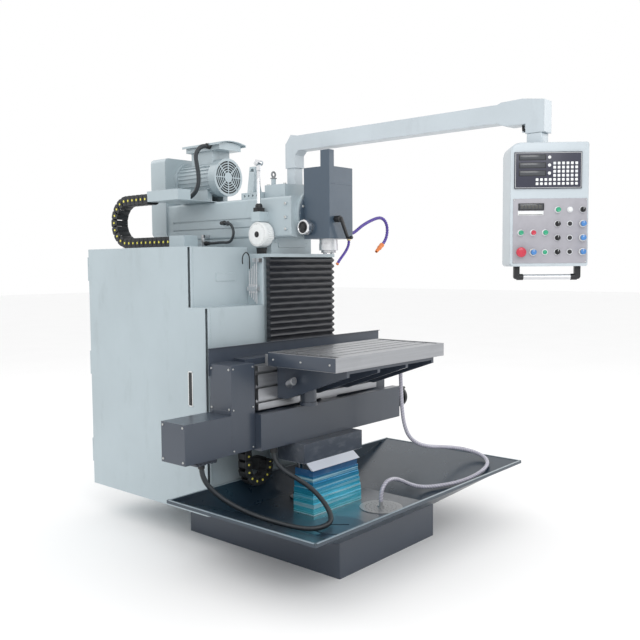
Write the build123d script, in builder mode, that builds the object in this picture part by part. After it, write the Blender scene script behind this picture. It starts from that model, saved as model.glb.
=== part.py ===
from build123d import *

import math
import os

# Vertical tool-room milling machine. Millimetres, +Z up, the front faces -Y.
# The origin is on the floor, straight under the vertical spindle's axis.

os.makedirs("parts", exist_ok=True)

# ---------------------------------------------------------------- driving sizes
GAP = 0.3          # between sliding and turning faces
FIT = 0.05         # radial running clearance of shafts

PLINTH_LEFT, PLINTH_RIGHT = -600.0, 266.0
PLINTH_FRONT, PLINTH_SIDE_BACK, PLINTH_BACK = -570.0, 593.0, 1130.0
PLINTH_H = 187.0
PLINTH_WALL = 26.0

TRAY_SHEET = 4.0
TRAY_LEFT, TRAY_RIGHT, TRAY_FRONT = -1056.0, 897.0, -810.0
TRAY_RIM_Z = 361.0
TRAY_RIM_W, TRAY_RIM_H = 12.0, 16.0

COLUMN_HALF = 293.0
COLUMN_FRONT, COLUMN_BACK = 235.0, 1110.0
COLUMN_TOP = 1640.0
COLUMN_WALL = 30.0
WAY_DEPTH, WAY_IN, WAY_OUT = 27.0, 182.0, 262.0
HEAD_PLATE_T, HEAD_PLATE_FRONT = 20.0, 200.0
GUIDE_HALF, GUIDE_FRONT = 180.0, 300.0

RAM_HALF, RAM_FRONT, RAM_BACK = 185.0, 130.0, 1280.0
RAM_Z0, RAM_Z1 = 1760.0, 2000.0
KEEL_HALF, KEEL_Z0 = 120.0, 1700.0
SHOULDER_HALF, SHOULDER_Z0 = 150.0, 1728.0

SWIVEL_Z = 1895.0
SWIVEL_R = 135.0
SWIVEL_T = 18.0
HEAD_X, HEAD_Y, HEAD_Z = (-109.0, 110.0), (-98.0, 99.0), (1745.0, 2161.0)
HEAD_WALL = 16.0
QUILL_R, QUILL_NOSE_Z, QUILL_TOP = 54.0, 1678.0, 1868.0
SPINDLE_R, SPINDLE_TOP = 30.0, 1880.0
TAPER_R = 22.2
SHAFT_R = 25.0

KNEE_X = (-640.0, 640.0)
KNEE_FRONT, KNEE_BACK = 60.0, 150.0
KNEE_Z = (604.0, 1080.0)
BEAM_COVER_X = (-643.0, 641.0)
BEAM_COVER_FRONT = -62.0
BEAM_COVER_Z = (590.0, 790.0)
SHEET = 3.0
LEFT_COVER_X, LEFT_COVER_Y, LEFT_COVER_Z = (-815.0, -645.0), (-17.0, 149.0), (595.0, 1066.0)
MOTOR_COVER_X, MOTOR_COVER_Y, MOTOR_COVER_Z = (-1131.0, -815.0), (-17.0, 169.0), (595.0, 803.0)
SCREW_Y, SCREW_Z, SCREW_R = 30.0, 700.0, 16.0

WALL_TABLE_X, WALL_TABLE_Z, WALL_TABLE_T = (-600.0, 470.0), (800.0, 1045.0), 58.0
TABLE_X, TABLE_Y = (-571.0, 440.0), (-530.0, -45.0)
TABLE_TOP, TABLE_T = 1120.0, 75.0
SLOT_W, SLOT_FOOT_W, SLOT_PITCH = 14.0, 24.0, 80.0
BRACKET_X, BRACKET_FRONT, BRACKET_Z0 = (-450.0, 370.0), -500.0, 850.0

CABINET_X, CABINET_BACK = (-745.0, -294.0), 1383.0
CABINET_LOW_FRONT, CABINET_TOP_FRONT = 253.0, 394.0
CABINET_STEP_Z, CABINET_TOP = 1358.0, 1700.0
DOOR_T, DOOR_SHEET = 30.0, 3.0

COVER_MIDDLE, COVER_FRONT = -153.0, -188.0
COVER_HALF, COVER_STEP = 215.0, 4.0
COVER_H, COVER_T, COVER_DEPTH = 100.0, 1.6, 150.0
COVER_TOP_Z = 444.0

MOTOR_Y, MOTOR_Z, MOTOR_R = (867.0, 1280.0), 2175.0, 124.5
BELT_COVER_X, BELT_COVER_Y, BELT_COVER_Z = (-200.0, 200.0), (1280.0, 1443.0), (1787.0, 2323.0)
DRIVEN_PULLEY_R, MOTOR_PULLEY_R, PULLEY_Y = 90.0, 65.0, (1312.0, 1372.0)

ARM_POST_Y, ARM_POST_W, ARM_BASE_Z = 268.0, 66.0, 2080.0
ARM_W, ARM_Z = 80.0, (2282.0, 2372.0)
PENDANT_Y = -1325.0
PENDANT_TURN = 38.0


# ---------------------------------------------------------------- helpers
def block(x, y, z, mode=Mode.ADD):
    """A box between a low and a high value along each axis."""
    with Locations(((x[0] + x[1]) / 2, (y[0] + y[1]) / 2, (z[0] + z[1]) / 2)):
        Box(x[1] - x[0], y[1] - y[0], z[1] - z[0], mode=mode)


def rod(axis, ends, at, radius, mode=Mode.ADD):
    """A cylinder along X, Y or Z, at its two other coordinates."""
    middle = (ends[0] + ends[1]) / 2
    place = {
        "X": Location((middle, at[0], at[1]), (0, 90, 0)),
        "Y": Location((at[0], middle, at[1]), (90, 0, 0)),
        "Z": Location((at[0], at[1], middle)),
    }[axis]
    with Locations(place):
        Cylinder(radius, ends[1] - ends[0], mode=mode)


def keep(builder, name):
    """Labels a finished piece and writes it to its own file."""
    builder.part.label = name
    export_step(builder.part, f"parts/{name}.step")


def tube_radii(points):
    """Bend radius at each inner point of a cord's route: 0.45 of the shorter run over tan(half turn)."""
    radii = []
    for before, here, after in zip(points, points[1:], points[2:]):
        run_in, run_out = Vector(*here) - Vector(*before), Vector(*after) - Vector(*here)
        turn = math.radians(run_in.get_angle(run_out))
        radii.append(0.45 * min(run_in.length, run_out.length) / math.tan(turn / 2))
    return radii


def cord(name, points, diameter):
    """A round cord's solid along straight runs joined by tangent arcs."""
    radii = tube_radii(points)
    with BuildPart() as tube:
        with BuildLine() as path:
            FilletPolyline(*points, radius=radii)
        start = path.line @ 0
        with BuildSketch(Plane(origin=start, z_dir=path.line % 0)):
            Circle(diameter / 2)
        sweep(path=path.line)
    section = math.pi * diameter**2 / 4
    print(name, "length", round(path.wire().length), "volume over section x length",
          round(tube.part.volume / (section * path.wire().length), 4),
          "radii", [round(radius) for radius in radii])
    return tube


# ---------------------------------------------------------------- base: plinth, tray, column
FOOT_HALF = COLUMN_HALF + 17
FOOT_FRONT = COLUMN_FRONT - 35
with BuildPart() as base_plinth:
    with BuildSketch():
        with BuildLine():
            Polyline(
                (PLINTH_LEFT, PLINTH_FRONT), (PLINTH_RIGHT, PLINTH_FRONT), (PLINTH_RIGHT, FOOT_FRONT),
                (FOOT_HALF, FOOT_FRONT), (FOOT_HALF, PLINTH_BACK), (-COLUMN_HALF - 1, PLINTH_BACK),
                (-COLUMN_HALF - 1, PLINTH_SIDE_BACK), (PLINTH_LEFT, PLINTH_SIDE_BACK), close=True,
            )
        make_face()
    extrude(amount=PLINTH_H)
    fillet(base_plinth.edges().filter_by(Axis.Z).sort_by(Axis.Y)[:2], 6)
    block((PLINTH_LEFT + PLINTH_WALL, PLINTH_RIGHT - PLINTH_WALL),
          (PLINTH_FRONT + PLINTH_WALL, FOOT_FRONT - PLINTH_WALL), (20, PLINTH_H), Mode.SUBTRACT)
    block((PLINTH_LEFT + PLINTH_WALL, -COLUMN_HALF - PLINTH_WALL),
          (FOOT_FRONT, PLINTH_SIDE_BACK - PLINTH_WALL), (20, PLINTH_H), Mode.SUBTRACT)
    block((-COLUMN_HALF + COLUMN_WALL + 4, COLUMN_HALF - COLUMN_WALL - 4),
          (COLUMN_FRONT + WAY_DEPTH + COLUMN_WALL + 8, COLUMN_BACK - COLUMN_WALL - 4), (20, PLINTH_H),
          Mode.SUBTRACT)
keep(base_plinth, "base_plinth")

TRAY_BACK = COLUMN_FRONT - 2
TANK_COVER_AT, TANK_COVER_R = (-397.0, -391.0), 150.0
STRAINER_AT, STRAINER_R = (7.0, -379.0), 125.0


def tray_hopper(grow, lift, mode):
    """The tray's sloping hopper from the plinth's edge to the rim, shrunk by a sheet's thickness."""
    floor_x, floor_y = (PLINTH_LEFT + grow, PLINTH_RIGHT - grow), (PLINTH_FRONT + grow, TRAY_BACK - grow)
    rim_x, rim_y = (TRAY_LEFT + grow, TRAY_RIGHT - grow), (TRAY_FRONT + grow, TRAY_BACK - grow)
    with BuildSketch(Plane.XY.offset(PLINTH_H + lift)) as floor:
        with Locations((sum(floor_x) / 2, sum(floor_y) / 2)):
            Rectangle(floor_x[1] - floor_x[0], floor_y[1] - floor_y[0])
    with BuildSketch(Plane.XY.offset(TRAY_RIM_Z + (1 if lift else 0))) as mouth:
        with Locations((sum(rim_x) / 2, sum(rim_y) / 2)):
            Rectangle(rim_x[1] - rim_x[0], rim_y[1] - rim_y[0])
    loft(sections=[floor.sketch, mouth.sketch], mode=mode)


with BuildPart() as chip_tray:
    tray_hopper(0, 0, Mode.ADD)
    tray_hopper(TRAY_SHEET, TRAY_SHEET, Mode.SUBTRACT)
    with BuildSketch(Plane.XY.offset(TRAY_RIM_Z - TRAY_RIM_H)):
        with Locations(((TRAY_LEFT + TRAY_RIGHT) / 2, (TRAY_FRONT + TRAY_BACK) / 2)):
            Rectangle(TRAY_RIGHT - TRAY_LEFT, TRAY_BACK - TRAY_FRONT)
            Rectangle(TRAY_RIGHT - TRAY_LEFT - 2 * TRAY_RIM_W, TRAY_BACK - TRAY_FRONT - 2 * TRAY_RIM_W,
                      mode=Mode.SUBTRACT)
    extrude(amount=TRAY_RIM_H)
    rod("Z", (PLINTH_H, PLINTH_H + 10), TANK_COVER_AT, TANK_COVER_R - 25, Mode.SUBTRACT)
    rod("Z", (PLINTH_H, PLINTH_H + 10), STRAINER_AT, STRAINER_R - 25, Mode.SUBTRACT)
keep(chip_tray, "chip_tray")

FLOOR_Z = PLINTH_H + TRAY_SHEET
STUB_TOP, HOSE_D = 225.0, 24.0
with BuildPart() as tray_covers:
    rod("Z", (FLOOR_Z, FLOOR_Z + 3), TANK_COVER_AT, TANK_COVER_R)
    with Locations((TANK_COVER_AT[0], TANK_COVER_AT[1], FLOOR_Z + 1.5)):
        Box(14, 120, 10, rotation=(0, 0, 40), mode=Mode.SUBTRACT)
    rod("Z", (FLOOR_Z, FLOOR_Z + 4), STRAINER_AT, STRAINER_R)
    for ring, count in ((42, 12), (66, 18), (90, 24)):
        with Locations((STRAINER_AT[0], STRAINER_AT[1], FLOOR_Z)):
            with PolarLocations(ring, count):
                Cylinder(4, 20, mode=Mode.SUBTRACT)
    rod("Z", (FLOOR_Z, FLOOR_Z + 12), STRAINER_AT, HOSE_D / 2 + 8)
    rod("Z", (FLOOR_Z, STUB_TOP), STRAINER_AT, HOSE_D / 2 - 2)
keep(tray_covers, "tray_covers")

GUIDE_TOP = RAM_Z0 - GAP
with BuildPart() as column:
    block((-COLUMN_HALF, COLUMN_HALF), (COLUMN_FRONT + WAY_DEPTH, COLUMN_BACK), (PLINTH_H, COLUMN_TOP))
    fillet(column.edges().filter_by(Axis.Z), 12)
    for side in (-1, 1):
        way = sorted((side * WAY_IN, side * WAY_OUT))
        block(way, (COLUMN_FRONT, COLUMN_FRONT + WAY_DEPTH + 1), (PLINTH_H, COLUMN_TOP))
    block((-COLUMN_HALF + COLUMN_WALL, COLUMN_HALF - COLUMN_WALL),
          (COLUMN_FRONT + WAY_DEPTH + COLUMN_WALL, COLUMN_BACK - COLUMN_WALL),
          (PLINTH_H, COLUMN_TOP - COLUMN_WALL), Mode.SUBTRACT)
    block((-COLUMN_HALF, COLUMN_HALF), (HEAD_PLATE_FRONT, COLUMN_BACK),
          (COLUMN_TOP, COLUMN_TOP + HEAD_PLATE_T))
    block((-GUIDE_HALF, GUIDE_HALF), (GUIDE_FRONT, COLUMN_BACK), (COLUMN_TOP + HEAD_PLATE_T, GUIDE_TOP))
    block((-KEEL_HALF - GAP, KEEL_HALF + GAP), (GUIDE_FRONT, COLUMN_BACK), (KEEL_Z0 - GAP, GUIDE_TOP),
          Mode.SUBTRACT)
    block((-SHOULDER_HALF - GAP, SHOULDER_HALF + GAP), (GUIDE_FRONT, COLUMN_BACK),
          (SHOULDER_Z0 - GAP, GUIDE_TOP), Mode.SUBTRACT)
keep(column, "column")

Z_SCREW_AT, Z_SCREW_R, Z_SCREW_TOP = (COVER_MIDDLE - 2, (KNEE_FRONT + KNEE_BACK) / 2), 20.0, 925.0
with BuildPart() as z_screw:
    rod("Z", (FLOOR_Z, FLOOR_Z + 14), Z_SCREW_AT, 62)
    rod("Z", (FLOOR_Z, FLOOR_Z + 44), Z_SCREW_AT, 42)
    rod("Z", (FLOOR_Z, Z_SCREW_TOP), Z_SCREW_AT, Z_SCREW_R)
    chamfer(z_screw.edges().group_by(Axis.Z)[-1], 3)
keep(z_screw, "z_screw")

BELLOWS_PLEATS = 15
BELLOWS_TOP, BELLOWS_FOOT = COLUMN_TOP - GAP, KNEE_Z[1] + GAP
BELLOWS_BACK = COLUMN_FRONT - 1
BELLOWS_PEAK, BELLOWS_VALLEY = HEAD_PLATE_FRONT + 2, HEAD_PLATE_FRONT + 17
with BuildPart() as way_bellows:
    pitch = (BELLOWS_TOP - BELLOWS_FOOT) / BELLOWS_PLEATS
    front = []
    for pleat in range(BELLOWS_PLEATS):
        low = BELLOWS_FOOT + pleat * pitch
        front += [(BELLOWS_VALLEY, low), (BELLOWS_PEAK, low + 0.35 * pitch),
                  (BELLOWS_PEAK, low + 0.65 * pitch)]
    front.append((BELLOWS_VALLEY, BELLOWS_TOP))
    with BuildSketch(Plane.YZ):
        with BuildLine():
            Polyline(*front, (BELLOWS_BACK, BELLOWS_TOP), (BELLOWS_BACK, BELLOWS_FOOT), close=True)
        make_face()
    extrude(amount=COLUMN_HALF, both=True)
keep(way_bellows, "way_bellows")

# Lubrication block with its pipes on the column's left side, ahead of the cabinet.
OIL_Y, OIL_Z = (286.0, 372.0), (1440.0, 1466.0)
with BuildPart() as oil_distributor:
    block((-COLUMN_HALF - 26, -COLUMN_HALF), OIL_Y, OIL_Z)
    for outlet in range(5):
        y = OIL_Y[0] + 13 + outlet * 15
        rod("Z", (OIL_Z[1] - 102 + 12 * outlet, OIL_Z[1] + 150 - 14 * outlet), (-COLUMN_HALF - 16, y), 3.2)
        rod("Z", (OIL_Z[0] - 14, OIL_Z[1] + 14), (-COLUMN_HALF - 16, y), 5.5)
    for mast in (OIL_Y[0] + 13, OIL_Y[0] + 73):
        rod("X", (-COLUMN_HALF - 19, -COLUMN_HALF), (mast, OIL_Z[1] + 84), 3.2)
    block((-COLUMN_HALF - 30, -COLUMN_HALF), (268, 292), (1610, 1634))
    block((-COLUMN_HALF - 30, -COLUMN_HALF), (300, 324), (1610, 1634))
keep(oil_distributor, "oil_distributor")

# ---------------------------------------------------------------- electrical cabinet
CABINET_BODY_X = (CABINET_X[0] + DOOR_T + 1, -COLUMN_HALF)
CABINET_SHEET = 3.0


def cabinet_outline(inset, x, depth, mode=Mode.ADD):
    """The cabinet's stepped side outline, pulled in by a margin and extruded along X."""
    low, high = CABINET_LOW_FRONT + inset, CABINET_TOP_FRONT + inset
    back, foot, top = CABINET_BACK - inset, PLINTH_H + inset, CABINET_TOP - inset
    step = CABINET_STEP_Z - inset
    with BuildSketch(Plane.YZ.offset(x)) as side:
        with BuildLine():
            Polyline((low, foot), (back, foot), (back, top), (high, top), (high, step), (low, step),
                     close=True)
        make_face()
    extrude(side.sketch, amount=depth, mode=mode)


HINGE_AT, HINGE_Z, PIN_R = (CABINET_X[0] + 8, CABINET_BACK + 9), (330.0, 900.0, 1500.0), 3.5
CHAIN_X, CHAIN_W, CHAIN_H = -440.0, 90.0, 62.0
CHAIN_LOW, CHAIN_HIGH, CHAIN_TURN_Y, CHAIN_FRONT_Y, CHAIN_TOP_Y = 1742.0, 2020.0, 1333.0, 880.0, 1106.0
with BuildPart() as cabinet_body:
    cabinet_outline(0, CABINET_BODY_X[0], CABINET_BODY_X[1] - CABINET_BODY_X[0])
    cabinet_outline(CABINET_SHEET, CABINET_BODY_X[0] + CABINET_SHEET,
                    CABINET_BODY_X[1] - CABINET_BODY_X[0] - 2 * CABINET_SHEET, Mode.SUBTRACT)
    cabinet_outline(45, CABINET_BODY_X[0] - 1, CABINET_SHEET + 2, Mode.SUBTRACT)
    block((-545, -395), (CABINET_TOP_FRONT - 3, CABINET_TOP_FRONT), (1502, 1548))
    block((CHAIN_X - CHAIN_W / 2 - 8, CHAIN_X + CHAIN_W / 2 + 8), (735, CHAIN_FRONT_Y), (CABINET_TOP, 1778))
    block((CHAIN_X - CHAIN_W / 2 - 8, CHAIN_X + CHAIN_W / 2 + 8), (CHAIN_FRONT_Y, CABINET_BACK - 5),
          (CABINET_TOP, CHAIN_LOW - CHAIN_H / 2))
    block((CHAIN_X - CHAIN_W / 2 - 5, CHAIN_X + CHAIN_W / 2 + 5), (738, CHAIN_FRONT_Y + 1),
          (CHAIN_LOW - CHAIN_H / 2, 1775), Mode.SUBTRACT)
    for low in HINGE_Z:
        rod("Z", (low, low + 91), HINGE_AT, PIN_R)
        rod("Z", (low + 90 + GAP, low + 150), HINGE_AT, 8)
        block((HINGE_AT[0], CABINET_BODY_X[0] + 10), (CABINET_BACK + 3, HINGE_AT[1]),
              (low + 90 + GAP, low + 150))
        block((CABINET_BODY_X[0], CABINET_BODY_X[0] + 10), (CABINET_BACK - 3, HINGE_AT[1]),
              (low + 90 + GAP, low + 150))
keep(cabinet_body, "cabinet_body")

HANDLE_Y, HANDLE_Z = (381.0, 411.0), (803.0, 992.0)
HANDLE_PIN_AT, HANDLE_PIN_R = (CABINET_X[0] + 3, HANDLE_Z[1] - 8), 2.5
POCKET_DEPTH, POCKET_WALL = 11.0, 6.0
with BuildPart() as cabinet_door:
    cabinet_outline(0, CABINET_X[0], DOOR_T)
    upright_edges = cabinet_door.edges().filter_by(Axis.Z)
    front_edges = upright_edges.filter_by(lambda edge: edge.center().X < CABINET_X[0] + 1)
    fillet(front_edges.sort_by(Axis.Y)[:2], 22)
    cabinet_outline(DOOR_SHEET, CABINET_X[0] + DOOR_SHEET, DOOR_T, Mode.SUBTRACT)
    block((CABINET_X[0] + 1, CABINET_X[0] + POCKET_DEPTH + DOOR_SHEET),
          (HANDLE_Y[0] - POCKET_WALL, HANDLE_Y[1] + POCKET_WALL),
          (HANDLE_Z[0] - POCKET_WALL, HANDLE_Z[1] + POCKET_WALL))
    block((CABINET_X[0] - 2, CABINET_X[0] + POCKET_DEPTH), HANDLE_Y, HANDLE_Z, Mode.SUBTRACT)
    rod("Y", (HANDLE_Y[0] - 4, HANDLE_Y[1] + 4), HANDLE_PIN_AT, HANDLE_PIN_R + FIT, Mode.SUBTRACT)
    for low in HINGE_Z:
        rod("Z", (low, low + 90), HINGE_AT, 8)
        block((HINGE_AT[0] - 8, HINGE_AT[0] + 2), (CABINET_BACK - 4, HINGE_AT[1]), (low, low + 90))
        rod("Z", (low - 1, low + 91), HINGE_AT, PIN_R + FIT, Mode.SUBTRACT)
keep(cabinet_door, "cabinet_door")

with BuildPart() as door_handle:
    block((CABINET_X[0] - 2, CABINET_X[0] + 5), (HANDLE_Y[0] + 1, HANDLE_Y[1] - 1),
          (HANDLE_Z[0] + 1, HANDLE_Z[1] - 3))
    fillet(door_handle.edges().filter_by(Axis.X), 4)
    block((CABINET_X[0] - 3, CABINET_X[0]), (HANDLE_Y[0] + 8, HANDLE_Y[1] - 8),
          (HANDLE_Z[0] + 12, HANDLE_Z[0] + 44))
    rod("Y", (HANDLE_Y[0] - 4, HANDLE_Y[1] + 4), HANDLE_PIN_AT, HANDLE_PIN_R)
keep(door_handle, "door_handle")

with BuildPart() as electrical_panel:
    panel_x = CABINET_BODY_X[1] - 40
    block((panel_x - 3, panel_x), (430, 1340), (300, 1600))
    for stud_y in (470, 1300):
        for stud_z in (340, 1560):
            rod("X", (panel_x - 1, CABINET_BODY_X[1] - CABINET_SHEET), (stud_y, stud_z), 9)
    for row, tall in enumerate((90, 120, 70, 150)):
        z = 420 + row * 300
        block((panel_x - 12, panel_x - 3), (470, 1300), (z - 4, z + 31))
        for unit in range(7):
            y = 490 + unit * 115
            block((panel_x - 80 + 5 * (unit % 3), panel_x - 12), (y, y + 96), (z - tall / 2, z + tall / 2))
keep(electrical_panel, "electrical_panel")

# ---------------------------------------------------------------- knee
NUT_R = 34.0
with BuildPart() as knee_casting:
    block(KNEE_X, (KNEE_FRONT, KNEE_BACK), KNEE_Z)
    block((-WAY_OUT, WAY_OUT), (KNEE_BACK, COLUMN_FRONT - GAP), KNEE_Z)
    for side in (-1, 1):
        pocket = sorted((side * (WAY_OUT + 30), side * (KNEE_X[1] - 30)))
        block(pocket, (KNEE_FRONT + 32, KNEE_BACK), (KNEE_Z[0] + 30, KNEE_Z[1] - 30), Mode.SUBTRACT)
    block((30, WAY_IN - 20), (KNEE_FRONT + 35, COLUMN_FRONT), (KNEE_Z[0] + 60, KNEE_Z[1] - 40),
          Mode.SUBTRACT)
    rod("Z", KNEE_Z, Z_SCREW_AT, NUT_R - 10, Mode.SUBTRACT)
    for screw_x in (-WAY_OUT - 18, WAY_OUT + 18):
        rod("Y", (KNEE_FRONT - 1, KNEE_FRONT + 12), (screw_x, KNEE_Z[1] - 60), 9, Mode.SUBTRACT)
    block((KNEE_X[0], KNEE_X[0] + 40), (5, KNEE_FRONT + 1), (SCREW_Z - 45, SCREW_Z + 45))
    block((KNEE_X[1] - 40, KNEE_X[1]), (5, KNEE_FRONT + 1), (SCREW_Z - 45, SCREW_Z + 45))
    rod("X", (KNEE_X[0] - 1, KNEE_X[1] + 1), (SCREW_Y, SCREW_Z), SCREW_R + FIT, Mode.SUBTRACT)
    block((KNEE_X[0] + 40, KNEE_X[1] - 40), (-50, KNEE_FRONT), (KNEE_Z[0] - 1, KNEE_Z[1]), Mode.SUBTRACT)
keep(knee_casting, "knee_casting")

with BuildPart() as beam_cover:
    block(BEAM_COVER_X, (BEAM_COVER_FRONT, BEAM_COVER_FRONT + SHEET), BEAM_COVER_Z)
    block(BEAM_COVER_X, (BEAM_COVER_FRONT, -3), (BEAM_COVER_Z[1] - SHEET, BEAM_COVER_Z[1]))
    block(BEAM_COVER_X, (BEAM_COVER_FRONT, KNEE_BACK), (BEAM_COVER_Z[0], BEAM_COVER_Z[0] + SHEET))
    block(KNEE_X, (KNEE_FRONT, KNEE_BACK), (BEAM_COVER_Z[0], KNEE_Z[0]))
    block((KNEE_X[1], KNEE_X[1] + 1), (BEAM_COVER_FRONT, -3), BEAM_COVER_Z)
    block((BEAM_COVER_X[0], BEAM_COVER_X[0] + 1), (BEAM_COVER_FRONT, -3), BEAM_COVER_Z)
    rod("Z", (BEAM_COVER_Z[0] - 1, KNEE_Z[0] + 1), Z_SCREW_AT, NUT_R - 10, Mode.SUBTRACT)
keep(beam_cover, "beam_cover")


def sheet_box(x, y, z, sheet=SHEET):
    """A closed sheet-metal box."""
    block(x, y, z)
    inner = [(low + sheet, high - sheet) for low, high in (x, y, z)]
    block(*inner, Mode.SUBTRACT)


GUARD_X, GUARD_TOP = (LEFT_COVER_X[0] - 10, 690.0), 1150.0
with BuildPart() as side_guard:
    sheet_box(LEFT_COVER_X, LEFT_COVER_Y, LEFT_COVER_Z)
    block((LEFT_COVER_X[1] - SHEET, LEFT_COVER_X[1] + 1), (LEFT_COVER_Y[0] + SHEET, LEFT_COVER_Y[1] - SHEET),
          (LEFT_COVER_Z[0] + SHEET, LEFT_COVER_Z[1] - SHEET), Mode.SUBTRACT)
    rod("X", (LEFT_COVER_X[0] - 1, LEFT_COVER_X[0] + 10), (SCREW_Y, SCREW_Z), SCREW_R + 4, Mode.SUBTRACT)
    block((LEFT_COVER_X[0] - 3, LEFT_COVER_X[0] + SHEET), (LEFT_COVER_Y[0] + 1, LEFT_COVER_Y[1]),
          (MOTOR_COVER_Z[1], MOTOR_COVER_Z[1] + 22))
    for screw_y in (0, 130):
        rod("X", (LEFT_COVER_X[0] - 6, LEFT_COVER_X[0] - 2), (screw_y, MOTOR_COVER_Z[1] + 12), 6)
    block(GUARD_X, (KNEE_BACK - SHEET, KNEE_BACK), (KNEE_Z[1], GUARD_TOP))
    block(GUARD_X, (KNEE_BACK - 16, KNEE_BACK), (GUARD_TOP - SHEET, GUARD_TOP))
    block((GUARD_X[0], KNEE_X[0] - 1), (KNEE_BACK - SHEET, KNEE_BACK), (1000, GUARD_TOP))
keep(side_guard, "side_guard")

with BuildPart() as motor_cover:
    sheet_box(MOTOR_COVER_X, MOTOR_COVER_Y, MOTOR_COVER_Z)
    fillet(motor_cover.edges().filter_by(Axis.Z).sort_by(Axis.X)[:1], 2)
    rod("X", (MOTOR_COVER_X[1] - 10, MOTOR_COVER_X[1] + 1), (SCREW_Y, SCREW_Z), SCREW_R + 4, Mode.SUBTRACT)
    block((-1010, -880), (30, 130), (MOTOR_COVER_Z[0] - 26, MOTOR_COVER_Z[0]))
    for rib in range(6):
        block((-1020 + rib * 24, -1006 + rib * 24), (26, 134),
              (MOTOR_COVER_Z[0] - 32, MOTOR_COVER_Z[0] - 22))
keep(motor_cover, "motor_cover")

HAND_WHEEL_X = (742.0, 770.0)
with BuildPart() as x_drive:
    rod("X", (-870, HAND_WHEEL_X[0] - 20), (SCREW_Y, SCREW_Z), SCREW_R)
    block((-1060, -920), (SCREW_Y - 40, SCREW_Y + 85), (SCREW_Z - 65, SCREW_Z + 65))
    rod("X", (-930, -860), (SCREW_Y, SCREW_Z), 38)
    rod("X", (KNEE_X[1], HAND_WHEEL_X[0] - 2 - GAP), (SCREW_Y, SCREW_Z), 33)
    block((-1060, -1000), (SCREW_Y - 10, SCREW_Y + 40), (MOTOR_COVER_Z[0] + SHEET, SCREW_Z))
keep(x_drive, "x_drive")

with BuildPart() as x_handwheel:
    wheel = (SCREW_Y, SCREW_Z)
    rod("X", HAND_WHEEL_X, wheel, 70)
    rod("X", (HAND_WHEEL_X[0] - 1, HAND_WHEEL_X[1] - 10), wheel, 56, Mode.SUBTRACT)
    rod("X", (HAND_WHEEL_X[0] - 2, HAND_WHEEL_X[1] + 4), wheel, 22)
    rod("X", (HAND_WHEEL_X[1], HAND_WHEEL_X[1] + 62), (SCREW_Y, SCREW_Z + 50), 11)
    fillet(x_handwheel.edges().group_by(Axis.X)[-1], 5)
keep(x_handwheel, "x_handwheel")

# ---------------------------------------------------------------- lead-screw cover
APRON_X, APRON_FRONT, APRON_Z = (-382.0, 140.0), -137.0, (480.0, BEAM_COVER_Z[0])
LIP_T = 3.0


def cover_shell(index, low, height):
    """One telescopic plate: a front and two sides, each plate a step inside the one below."""
    step = index * COVER_STEP
    x = (COVER_MIDDLE - COVER_HALF + step, COVER_MIDDLE + COVER_HALF - step)
    y = (COVER_FRONT + step, COVER_FRONT + COVER_DEPTH)
    block(x, y, (low, low + height))
    block((x[0] + COVER_T, x[1] - COVER_T), (y[0] + COVER_T, y[1] + 1), (low - 1, low + height + 1),
          Mode.SUBTRACT)
    block((x[0] + COVER_T, x[1] - COVER_T), (y[0] + COVER_T, y[0] + 2 * COVER_T),
          (low + height - 4, low + height))


COVER_PLATES = 5
COVER_RISE = (COVER_TOP_Z - FLOOR_Z - COVER_H) / (COVER_PLATES - 1)
for index in range(COVER_PLATES - 1):
    with BuildPart() as cover_plate:
        cover_shell(index, FLOOR_Z + index * COVER_RISE, COVER_H)
        if index == 0:
            block((COVER_MIDDLE - COVER_HALF, COVER_MIDDLE + COVER_HALF),
                  (COVER_FRONT - 3, COVER_FRONT), (FLOOR_Z, FLOOR_Z + 66))
    keep(cover_plate, f"cover_plate_{index + 1}")

with BuildPart() as cover_apron:
    block(APRON_X, (APRON_FRONT, KNEE_BACK - 80), APRON_Z)
    block((APRON_X[0] + SHEET, APRON_X[1] - SHEET), (APRON_FRONT + SHEET, KNEE_BACK),
          (APRON_Z[0] - 1, APRON_Z[1] - SHEET), Mode.SUBTRACT)
    rod("Z", (APRON_Z[0], APRON_Z[1] + 1), Z_SCREW_AT, NUT_R - 10, Mode.SUBTRACT)
    top = COVER_PLATES - 1
    cover_shell(top, COVER_TOP_Z - COVER_H, COVER_H - 2)
    lip_x = (COVER_MIDDLE - COVER_HALF + 6, COVER_MIDDLE + COVER_HALF - 6)
    with BuildSketch(Plane.YZ.offset(lip_x[0])):
        with BuildLine():
            Polyline((COVER_FRONT + 4, COVER_TOP_Z), (APRON_FRONT, APRON_Z[0]),
                     (APRON_FRONT, APRON_Z[0] + 4),
                     (APRON_FRONT + SHEET, APRON_Z[0] + 4), (APRON_FRONT + SHEET, APRON_Z[0] - 3),
                     (COVER_FRONT + 18, COVER_TOP_Z - LIP_T), (COVER_FRONT + 4, COVER_TOP_Z - LIP_T),
                     close=True)
        make_face()
    extrude(amount=lip_x[1] - lip_x[0])
keep(cover_apron, "cover_apron")

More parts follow.
